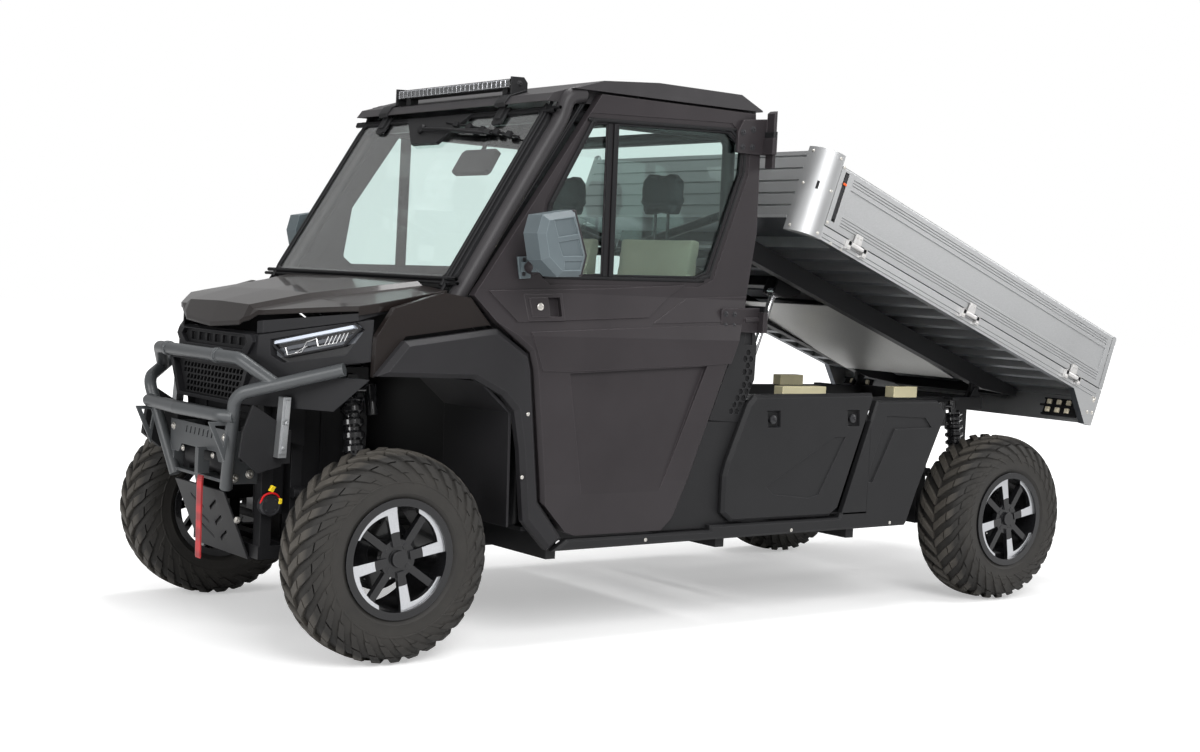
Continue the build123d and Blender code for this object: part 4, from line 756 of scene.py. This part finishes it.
@both_sides(DOORS, "black_plastic", "seal")
def window_seal(bm, side):
    beading(bm, [at(a, side * (door_face(z) - 2), z) for a, z in inward(WINDOW, -9)], 0.0062)
    beading(bm, [at(a, side * (door_face(z) - 9), z) for a, z in inward(WINDOW, 4)], 0.0055)


@both_sides(DOORS, "black_plastic", "seal", 0.003)
def window_bars(bm, side):
    for low, high, thickness in ((-803, -783, 0.009), (-828, -808, 0.013)):
        prism(bm, [at(a, side * (door_face(z) - 9), z) for a, z in rectangle(low, high, 1266, 1790)],
              side * thickness * LEFT)


@both_sides(DOORS, "door_grey", None, 0.0025)
def hinge_plates(bm, side):
    top = [(-1362, 1738), (-1362, 1815), (-1386, 1858), (-1500, 1870), (-1508, 1738)]
    side_plate(bm, side, 692, top, 0.016)
    strap_outline = [(-1316, 1092), (-1308, 1102), (-1308, 1164), (-1316, 1174), (-1500, 1180), (-1506, 1088)]
    side_plate(bm, side, 704, strap_outline, 0.026)
    pipe(bm, [at(-1420, side * 730, 1134), at(-1450, side * 730, 1135), at(-1488, side * 730, 1136)], 0.010)
    side_plate(bm, side, 706, ((-1498, 1690), (-1512, 1690), (-1512, 1900), (-1498, 1890)), 0.042)


@both_sides(DOORS, "black_plastic", "dark_bolt")
def hinge_bolts(bm, side):
    for ahead, height in ((-1385, 1760), (-1385, 1812), (-1432, 1762), (-1432, 1826)):
        bolt(bm, at(ahead, side * 708, height), side * LEFT, 0.008, 0.006)
    for ahead in (-1328, -1368):
        for height in (1112, 1154):
            bolt(bm, at(ahead, side * 730, height), side * LEFT, 0.007, 0.005)


@both_sides(DOORS, "chrome", "steel_bolt")
def handle_lock(bm, side):
    lathed(bm, at(-512, side * (door_face(1156) + 10), 1156), side * LEFT,
           [(0.013, 0), (0.013, 0.002), (0.011, 0.0035), (0.0085, 0.0035), (0.008, 0.0025), (0.003, 0.0025),
            (0.002, 0.001), (0, 0.001)])


@both_sides(CHASSIS, "black_plastic", "seal")
def pillar_seal(bm, side):
    for lean in (0, 9):
        pipe(bm, [at(ahead - lean, side * out, height) for ahead, out, height in (
            (-262, 655, 1200), (-292, 655, 1250), (-500, 652, 1556), (-716, 650, 1878))], 0.0055, 8)


@both_sides(CHASSIS, "roof_grey")
def pillar_cover(bm, side):
    """The rounded satin tube in front of the door."""
    points = [on_screen(side * 648, up, -44) for up in (-78, 40, 220, 400, 560, 680)]
    points += [at(-640, side * 652, 1862), at(-700, side * 654, 1882)]
    pipe(bm, points, 0.0305, 24, flat=0.95)


@both_sides(CHASSIS, "black_plastic")
def pillar_backing(bm, side):
    """The pillar's inner trim, which closes the gap between the tube and the door."""
    line = [(-262, 1200), (-292, 1250), (-500, 1556), (-716, 1872)]
    for (a0, z0), (a1, z1) in zip(line, line[1:]):
        side_plate(bm, side, 606, ((a0 + 28, z0), (a0 - 72, z0), (a1 - 72, z1), (a1 + 28, z1)), 0.008)


@both_sides(DOORS, "door_grey", None, 0.003)
def mirror_trim(bm, side):
    rear = [(-523, 1479), (-577, 1332), (-560, 1262), (-548, 1264), (-563, 1332), (-511, 1477)]
    side_plate(bm, side, 802, rear, 0.086)
    lathed(bm, at(-455, side * 720, 1285), side * LEFT,
           [(0.010, 0), (0.020, 0.012), (0.024, 0.030), (0.020, 0.050), (0.012, 0.062), (0.012, 0.085)])


@both_sides(DOORS, "black_plastic", "dark_bolt")
def mirror_bolts(bm, side):
    for height in (1262, 1310):
        bolt(bm, at(-450, side * 711, height), side * LEFT, 0.005, 0.004)


# ---- Windscreen, light bar and cab ----
bm = bmesh.new()
beading(bm, [on_screen(y, u, 6) for y, u in rectangle(-608, 608, 4, 686)], 0.007)
beading(bm, [on_screen(y, u, 2) for y, u in rectangle(-622, 622, -10, 700)], 0.006)
piece("screen_seal", bm, "chassis", "black_plastic", "seal")

bm = bmesh.new()
pipe(bm, [on_screen(-109, 632, 26), on_screen(60, 618, 30), on_screen(260, 598, 28), on_screen(345, 594, 22)], 0.0055)
pipe(bm, [on_screen(40, 655, 20), on_screen(300, 618, 18), on_screen(568, 573, 14)], 0.006, 8, flat=0.6)
for out in (120, 220, 320, 420, 510):
    up = 655 - (out - 40) * 82 / 528
    screen_plate(bm, 16, ((out - 18, up - 7), (out + 18, up - 12), (out + 14, up + 8), (out - 14, up + 12)), 0.012)
lathed(bm, on_screen(-109, 632, 18), SCREEN_OUT, [(0.020, 0), (0.020, 0.010), (0.014, 0.016), (0, 0.017)])
piece("wiper_arm", bm, "chassis", "black_plastic", "seal")

bm = bmesh.new()
for low, high in ((-480, -405), (330, 405)):
    middle = (low + high) / 2
    screen_plate(bm, 7, ((low, 706), (high, 706), (high - 8, 642), (high - 18, 634), (low + 18, 634), (low + 8, 642)),
                 0.010)
    screen_plate(bm, 17, ((middle - 18, 730), (middle + 18, 730), (middle + 14, 655), (middle - 14, 655)), 0.007)
    strap_line = [(-552, 1838), (-548, 1852), (-569, 1880), (-610, 1896), (-640, 1906), (-640, 1900), (-610, 1889),
                  (-574, 1874), (-558, 1850), (-558, 1838)]
    side_plate(bm, 1, low + 6, strap_line, (high - low - 12) / 1000)
piece("screen_clamps", bm, "chassis", "black_plastic", None, 0.002)

bm = bmesh.new()
CELLS = 26
for cell in range(CELLS):
    out = -378 + 756 * (cell + 0.5) / CELLS
    frame_points = [(-13, -12), (13, -12), (13, 12), (-13, 12)]
    outer = [bm.verts.new(at(-584.4, out + y, 1924 + z)) for y, z in frame_points]
    inner = [bm.verts.new(at(-589, out + y * 0.35, 1924 + z * 0.35)) for y, z in frame_points]
    bridge(bm, outer, inner)
    bm.faces.new(inner)
piece("light_bar_reflectors", bm, "chassis", "chrome")
bm = bmesh.new()
front_plate(bm, 1, -584, rectangle(-384, 384, 1910, 1938), 0.005)
piece("light_bar_lens", bm, "chassis", "lamp_glass", "clear_lens", 0.0015)
bm = bmesh.new()
for side in (-1, 1):
    side_plate(bm, side, 388, ((-646, 1884), (-578, 1884), (-578, 1946), (-630, 1948), (-646, 1930)), 0.008)
    bolt(bm, at(-612, side * 396, 1924), side * LEFT, 0.007, 0.005)
for row in range(9):
    height = 1911 + row * 3.2
    side_plate(bm, 1, -380, rectangle(-641, -648, height, height + 1.4), 0.760)
piece("light_bar_ends", bm, "chassis", "black_plastic", None, 0.0008)

bm = bmesh.new()
screen_plate(bm, -30, ((178, 470), (190, 463), (390, 463), (404, 474), (398, 556), (384, 563), (192, 563), (174, 552)),
             -0.022)
pipe(bm, [on_screen(290, 555, -40), on_screen(290, 600, -34), on_screen(290, 655, -18)], 0.008)
piece("interior_mirror", bm, "chassis", "black_plastic", "seal", 0.005)

bm = bmesh.new()
front_plate(bm, 1, -345, ((-190, 1168), (-120, 1228), (90, 1228), (170, 1176)), -0.16)
front_plate(bm, 1, -330, ((200, 1170), (232, 1240), (410, 1240), (440, 1170)), -0.20)
front_plate(bm, 1, -320, ((-560, 1172), (-540, 1190), (-230, 1190), (-212, 1172)), -0.20)
piece("dash_humps", bm, "chassis", "black_plastic", None, 0.012)

# ---- Nose: lamps, bumper hardware, bracket, actuator ----
def lamp_face(side, out, drop, proud=2.0):
    """A point on the headlamp's front, by distance out and drop below its upper edge."""
    ahead = 282 - (out - 330) * (282 - 106) / 330
    height = 1012 + (out - 350) * (1082 - 1012) / (622 - 350) + drop
    return at(ahead + proud, side * out, height)


@both_sides(CHASSIS, "chrome")
def lamp_chrome(bm, side):
    for first, second in (((404, -60), (452, -60)), ((404, -60), (396, -34)), ((452, -60), (468, -30)),
                          ((468, -30), (500, -26)), ((500, -26), (506, -52)), ((506, -52), (568, -52)),
                          ((430, -58), (470, -44)), ((396, -34), (404, -60))):
        pipe(bm, [lamp_face(side, *first), lamp_face(side, *second)], 0.0022, 6, steps=2)
    for out in range(528, 594, 13):
        pipe(bm, [lamp_face(side, out, -52), lamp_face(side, out + 12, -27)], 0.0020, 6, steps=2)


@both_sides(CHASSIS, "fascia_charcoal")
def lamp_rim(bm, side):
    loop = [(352, -20), (392, -64), (590, -64), (640, -22), (622, -2), (352, -2)]
    beading(bm, [lamp_face(side, out, drop, -3) for out, drop in loop], 0.0045)


@both_sides(("hood", "hood"), "fascia_charcoal")
def hood_skirt(bm, side):
    """The dark band between the hood's edge and the panel with the lamp."""
    line = [(300, 292, 1029, 1068), (290, 316, 1031, 1072), (118, 632, 1089, 1113), (58, 646, 1109, 1117),
            (-60, 646, 1144, 1146)]
    for (a0, y0, low0, high0), (a1, y1, low1, high1) in zip(line, line[1:]):
        corners = ((a0, y0, low0), (a1, y1, low1), (a1, y1, high1), (a0, y0, high0))
        prism(bm, [at(a, side * y, z) for a, y, z in corners], Vector((-0.005, side * -0.003, 0)))


@both_sides(CHASSIS, "black_plastic", "seal", 0.001)
def bay_liner(bm, side):
    """Splash panel on the inner face of the front frame posts."""
    side_plate(bm, side, 196, ((-140, 420), (246, 420), (246, 600), (246, 950), (-140, 950)), 0.004)
    for rib in (-90, 0, 90, 180):
        side_plate(bm, side, 200, rectangle(rib - 8, rib + 8, 440, 860), 0.004)


bm = bmesh.new()
front_plate(bm, 1, 232, rectangle(-196, 196, 610, 796), 0.008)
for low in range(628, 796, 24):
    front_plate(bm, 1, 240, rectangle(-180, 180, low, low + 5), 0.004)
piece("radiator_shield", bm, "chassis", "black_plastic", "seal", 0.001)


@both_sides(CHASSIS, "black_plastic", "seal", 0.001)
def bay_cover(bm, side):
    """Splash sheets behind the front panel: an upright one beside the radiator and a level one under the hood."""
    front_plate(bm, side, 236, ((198, 640), (332, 700), (332, 930), (198, 930)), 0.005)
    side_plate(bm, side, 300, ((120, 660), (262, 690), (272, 800), (272, 930), (120, 930)), 0.004)
    prism(bm, [at(a, side * y, 962) for a, y in ((240, 0), (240, 300), (60, 430), (-140, 430), (-140, 0))],
          Vector((0, 0, 0.005)))


bm = bmesh.new()
for out in (-205, 205):
    bolt(bm, at(359, out, 680), Vector((1, 0, 0)), 0.009, 0.007)
for out in (-120, 120):
    bolt(bm, at(359, out, 612), Vector((1, 0, 0)), 0.007, 0.006)
for side in (1, -1):
    bolt(bm, at(330, side * 226, 548), side * LEFT, 0.010, 0.008)
    bolt(bm, at(275, side * 226, 560), side * LEFT, 0.010, 0.008)
    for ahead, height in ((238, 300), (300, 404)):
        bolt(bm, at(ahead, side * 197, height), side * LEFT, 0.008, 0.007)
piece("bumper_bolts", bm, "chassis", "chrome", "steel_bolt")


@both_sides(CHASSIS, "chrome", "bracket_grey", 0.0015)
def nose_bracket(bm, side):
    side_plate(bm, side, 397, ((250, 636), (279, 636), (266, 831), (239, 831)), 0.036)
    side_plate(bm, side, 433, ((254, 650), (273, 650), (265, 742), (249, 742)), 0.006)
    side_plate(bm, side, 433, ((248, 760), (264, 760), (258, 822), (243, 822)), 0.006)
    for ahead, height in ((264, 668), (255, 748)):
        bolt(bm, at(ahead, side * 439, height), side * LEFT, 0.005, 0.004)


@both_sides(CHASSIS, "chrome", "bracket_grey")
def damper_reservoir(bm, side):
    lean = Vector((0, side * -0.16, 1)).normalized()
    lathed(bm, at(-74, side * 380, 860) - lean * 0.085, lean,
           [(0.0232, 0), (0.0232, 0.050), (0.0225, 0.052), (0.0225, 0.058), (0.0234, 0.060), (0.0234, 0.076),
            (0.018, 0.079)], 24)


bm = bmesh.new()
lathed(bm, at(225, 255.5, 462), LEFT,
       [(0.034, 0), (0.036, 0.006), (0.036, 0.030), (0.033, 0.036), (0.030, 0.036), (0.029, 0.033), (0, 0.033)], 32)
for turn in range(4):
    angle = math.radians(45 + 90 * turn)
    bolt(bm, at(225 + 24 * math.cos(angle), 289, 462 + 24 * math.sin(angle)), LEFT, 0.0035, 0.003)
piece("actuator", bm, "chassis", "black_plastic", "dark_bolt")
bm = bmesh.new()
pipe(bm, [at(258, 280, 470), at(254, 292, 494), at(232, 294, 504), at(206, 290, 498), at(190, 280, 480)], 0.0035)
piece("actuator_lead_red", bm, "chassis", "strap_red", "wire_red")
bm = bmesh.new()
side_plate(bm, 1, 284, ((222, 506), (236, 512), (226, 530), (212, 524)), 0.012)
side_plate(bm, 1, 280, rectangle(186, 198, 466, 484), 0.012)
piece("actuator_plugs", bm, "chassis", "pad_cream", "wire_yellow", 0.0015)

# ---- Bed: latches, hinges, bolts, lamps ----
def on_post(turn, above, side, radius=100):
    """A point on the bed's rounded corner post."""
    angle = math.radians(turn)
    return on_bed(radius * math.sin(angle), side * (660 + radius * math.cos(angle)), above)


def post_axis(turn, side):
    angle = math.radians(turn)
    return BED_ALONG * math.sin(angle) + side * LEFT * math.cos(angle)


@both_sides(BED, "chrome", "steel_bolt")
def bed_bolts(bm, side):
    for turn in (10, 76):
        for above in (262, 130, -40):
            bolt(bm, on_post(turn, above, side), post_axis(turn, side), 0.0042, 0.003)
    for above in (238, 16):
        bolt(bm, on_bed(-12, side * 760, above), side * LEFT, 0.0045, 0.003)
    for back, above in ((-1800, -60), (-1812, -112), (-1780, -120)):
        bolt(bm, on_bed(back, side * 760, above), side * LEFT, 0.0055, 0.004)
    for back in (-60, -120, -1790, -1805):
        bolt(bm, on_bed(back, side * 760, -50), side * LEFT, 0.004, 0.003)


@both_sides(BED, "black_plastic", "seal")
def post_slot(bm, side):
    prism(bm, [on_post(turn, above, side, 99.8) for turn, above in rectangle(40, 46, 150, 118)],
          post_axis(43, side) * 0.0012)


@both_sides(GATES, "black_plastic", "seal")
def latch_well(bm, side):
    bed_plate(bm, side, 751.5, rectangle(-26, -45, 30, 224), 0.0012)


@both_sides(GATES, "black_plastic", "dark_bolt", 0.0012)
def latch_lever(bm, side):
    bed_plate(bm, side, 752, rectangle(-28, -43, 40, 214), 0.006)
    bed_plate(bm, side, 753, rectangle(-28, -43, 182, 220), 0.010)


@both_sides(GATES, "strap_red", "orange", 0.001)
def latch_tab(bm, side):
    bed_plate(bm, side, 762, rectangle(-27, -44, 176, 184), 0.0035)


GATE_HINGES = (-183, -891, -1606)


@both_sides(GATES, "bed_aluminium", "cast_silver", 0.0018)
def gate_hinge_leaf(bm, side):
    for back in GATE_HINGES:
        bed_plate(bm, side, 764, [(back + s, n) for s, n in ((-20, -4), (20, -4), (17, 34), (-17, 34))], 0.0075)
        lathed(bm, on_bed(back - 33, side * 769, -14), BED_ALONG,
               [(0.0088, 0), (0.0098, 0.004), (0.0098, 0.062), (0.0088, 0.066)])
        for s in (-9, 9):
            bolt(bm, on_bed(back + s, side * 771.5, 22), side * LEFT, 0.0035, 0.0025)


@both_sides(BED, "bed_aluminium", "cast_silver", 0.0018)
def gate_hinge_foot(bm, side):
    for back in GATE_HINGES:
        for s0, s1 in ((-54, -35.5), (35.5, 54)):
            bed_plate(bm, side, 760.5, rectangle(back + s0, back + s1, -40, -4), 0.0155)
            bolt(bm, on_bed(back + (s0 + s1) / 2, side * 776, -32), side * LEFT, 0.0035, 0.0025)


@both_sides(BED, "black_plastic", "seal", 0.0012)
def tail_lamp_frame(bm, side):
    for level in (-76, -146):
        bed_plate(bm, side, 528, rectangle(-1780, -1766, level, level - 7), 0.186)
    prism(bm, [on_bed(-1779.5, side * y, n) for y, n in rectangle(528, 714, -80, -150)], BED_ALONG * 0.004)
    pipe(bm, [on_bed(-1760, side * 520, -112), on_bed(-1760, side * 700, -112)], 0.005)


@both_sides(BED, "pad_cream", "pale_lamp", 0.002)
def tail_lamp_units(bm, side):
    for column in range(3):
        for row in range(2):
            out = 556 + column * 52
            level = -92 - row * 36
            lathed(bm, on_bed(-1776, side * out, level), BED_ALONG,
                   [(0.016, 0), (0.016, 0.008), (0.013, 0.012), (0, 0.012)], 4)


# ---- Storage lids, rocker and engine bay ----
@both_sides(LIDS, "black_plastic", "dark_bolt")
def lid_knobs(bm, side):
    for ahead in (-1580, -1995):
        lathed(bm, at(ahead, side * 730, 770), side * LEFT,
               [(0.0145, 0), (0.0165, 0.002), (0.0165, 0.010), (0.012, 0.0125), (0, 0.0125)], 24)
        lathed(bm, at(ahead - 7, side * 740, 768), side * LEFT,
               [(0.0055, 0), (0.0055, 0.004), (0.0035, 0.006), (0, 0.006)], 16)


@both_sides(CHASSIS, "chrome", "steel_bolt")
def panel_fixings(bm, side):
    for ahead, out, height in ((-457, 745, 590), (-1000, 740, 352), (-1700, 740, 352), (-2230, 740, 356),
                               (-470, 745, 800)):
        bolt(bm, at(ahead, side * out, height), side * LEFT, 0.0045, 0.003)


@both_sides(CHASSIS, "black_plastic", None, 0.002)
def sill_panel(bm, side):
    """The dark panel between the door's rear edge and the lid, behind both."""
    side_plate(bm, side, 696, ((-1060, 374), (-1112, 440), (-1238, 764), (-1477, 764), (-1477, 374)), 0.013)
    # the fixed panel's front corner, beside the lid's rear edge
    side_plate(bm, side, 714, ((-2097, 764), (-1960, 398), (-2097, 398)), 0.026)


bm = bmesh.new()
side_plate(bm, 1, 90, ((-1632, 820), (-1560, 820), (-1560, 884), (-1626, 884)), 0.22)
for fin in range(9):
    out = 104 + fin * 24
    side_plate(bm, 1, out, ((-1636, 826), (-1630, 826), (-1624, 880), (-1630, 880)), 0.006)
piece("bay_module", bm, "chassis", "chrome", "box_grey", 0.002)
bm = bmesh.new()
side_plate(bm, 1, 262, rectangle(-1770, -1662, 821, 858), 0.082)
for first, second, third in (((-1640, 60, 840), (-1620, 10, 878), (-1590, -60, 842)),
                             ((-1612, 40, 842), (-1596, -20, 884), (-1612, -110, 842)),
                             ((-1590, 50, 838), (-1580, -60, 880), (-1600, -170, 838)),
                             ((-1632, -60, 842), (-1620, -140, 876), (-1596, -230, 842))):
    pipe(bm, [at(*first), at(*second), at(*third)], 0.011, 12, steps=10)
piece("bay_hoses", bm, "chassis", "black_plastic", "seal", 0.002)


# ---- Stage, light and camera ----
def seeing_rays(made):
    """1 for rays from the camera or through glass, which see a white backdrop, and 0 for others."""
    path = made.make("ShaderNodeLightPath").outputs
    return made.number("MAXIMUM", path["Is Camera Ray"], path["Is Transmission Ray"])


def stage_floor():
    mesh = bpy.data.meshes.new("floor")
    reach = 40.0
    mesh.from_pydata([(x, y, 0) for x, y in rectangle(-reach, reach, -reach, reach)], [], [(0, 1, 2, 3)])
    floor = linked("floor", mesh)
    material = bpy.data.materials.new("floor")
    material.use_nodes = True
    made = Nodes(material.node_tree)
    made.tree.nodes.clear()
    # the glow grows with the distance from the vehicle, so that the floor is white to the horizon
    fade = made.spread(made.vector("LENGTH", made.source()), 0.40, 1.0, 2.6, 8.0)
    glow = made.make("ShaderNodeEmission", Strength=made.number("MULTIPLY", seeing_rays(made), fade))
    diffuse = made.make("ShaderNodeBsdfDiffuse", Color=(0.80, 0.80, 0.80, 1))
    both = made.make("ShaderNodeAddShader")
    for shader, socket in zip((diffuse, glow), both.inputs):
        made.link(shader.outputs[0], socket)
    made.make("ShaderNodeOutputMaterial", Surface=both.outputs[0])
    mesh.materials.append(material)


def stage_world():
    world = bpy.data.worlds.new("studio")
    bpy.context.scene.world = world
    world.use_nodes = True
    made = Nodes(world.node_tree)
    strength = made.spread(seeing_rays(made), 0.42, 1.0)
    made.fill(made.tree.nodes["Background"], Color=(1, 1, 1, 1), Strength=strength)


def area_lamp(name, place, aim, size, watts, size_y=None):
    lamp = bpy.data.lights.new(name, "AREA")
    lamp.shape = "RECTANGLE"
    lamp.size = size
    lamp.size_y = size_y or size
    lamp.energy = watts
    body = linked(name, lamp)
    body.location = place
    body.rotation_euler = (Vector(aim) - Vector(place)).to_track_quat("-Z", "Y").to_euler()


stage_floor()
stage_world()
area_lamp("key", (2.5, 6.5, 5.0), (0, 0, 0.8), 4.0, 420)
area_lamp("top", (-0.5, 0.0, 6.5), (0, 0, 0), 5.0, 380, 3.0)
area_lamp("front", (7.5, 1.5, 2.6), (0.5, 0, 0.8), 3.0, 180)
area_lamp("rear", (-6.5, 4.0, 3.5), (-1.0, 0, 0.8), 3.0, 160)

IMAGE_WIDTH = 1200
camera_place = Vector((2.799 + FRONT_AXLE, 5.4469, 1.256))
camera_yaw, camera_pitch, camera_roll = -2.2188, -0.0555, 0.0486
focal_pixels = 1732.18
ahead = Vector((
    math.cos(camera_pitch) * math.cos(camera_yaw),
    math.cos(camera_pitch) * math.sin(camera_yaw),
    math.sin(camera_pitch),
))
level_right = ahead.cross(Vector((0, 0, 1))).normalized()
level_up = level_right.cross(ahead)
right = math.cos(camera_roll) * level_right + math.sin(camera_roll) * level_up
up = -math.sin(camera_roll) * level_right + math.cos(camera_roll) * level_up
camera_data = bpy.data.cameras.new("camera")
camera_data.sensor_width = 36.0
camera_data.lens = focal_pixels / IMAGE_WIDTH * camera_data.sensor_width
camera = linked("camera", camera_data)
camera.matrix_world = Matrix.Translation(camera_place) @ Matrix((right, up, -ahead)).transposed().to_4x4()
bpy.context.scene.camera = camera
bpy.context.scene.view_settings.view_transform = "Standard"
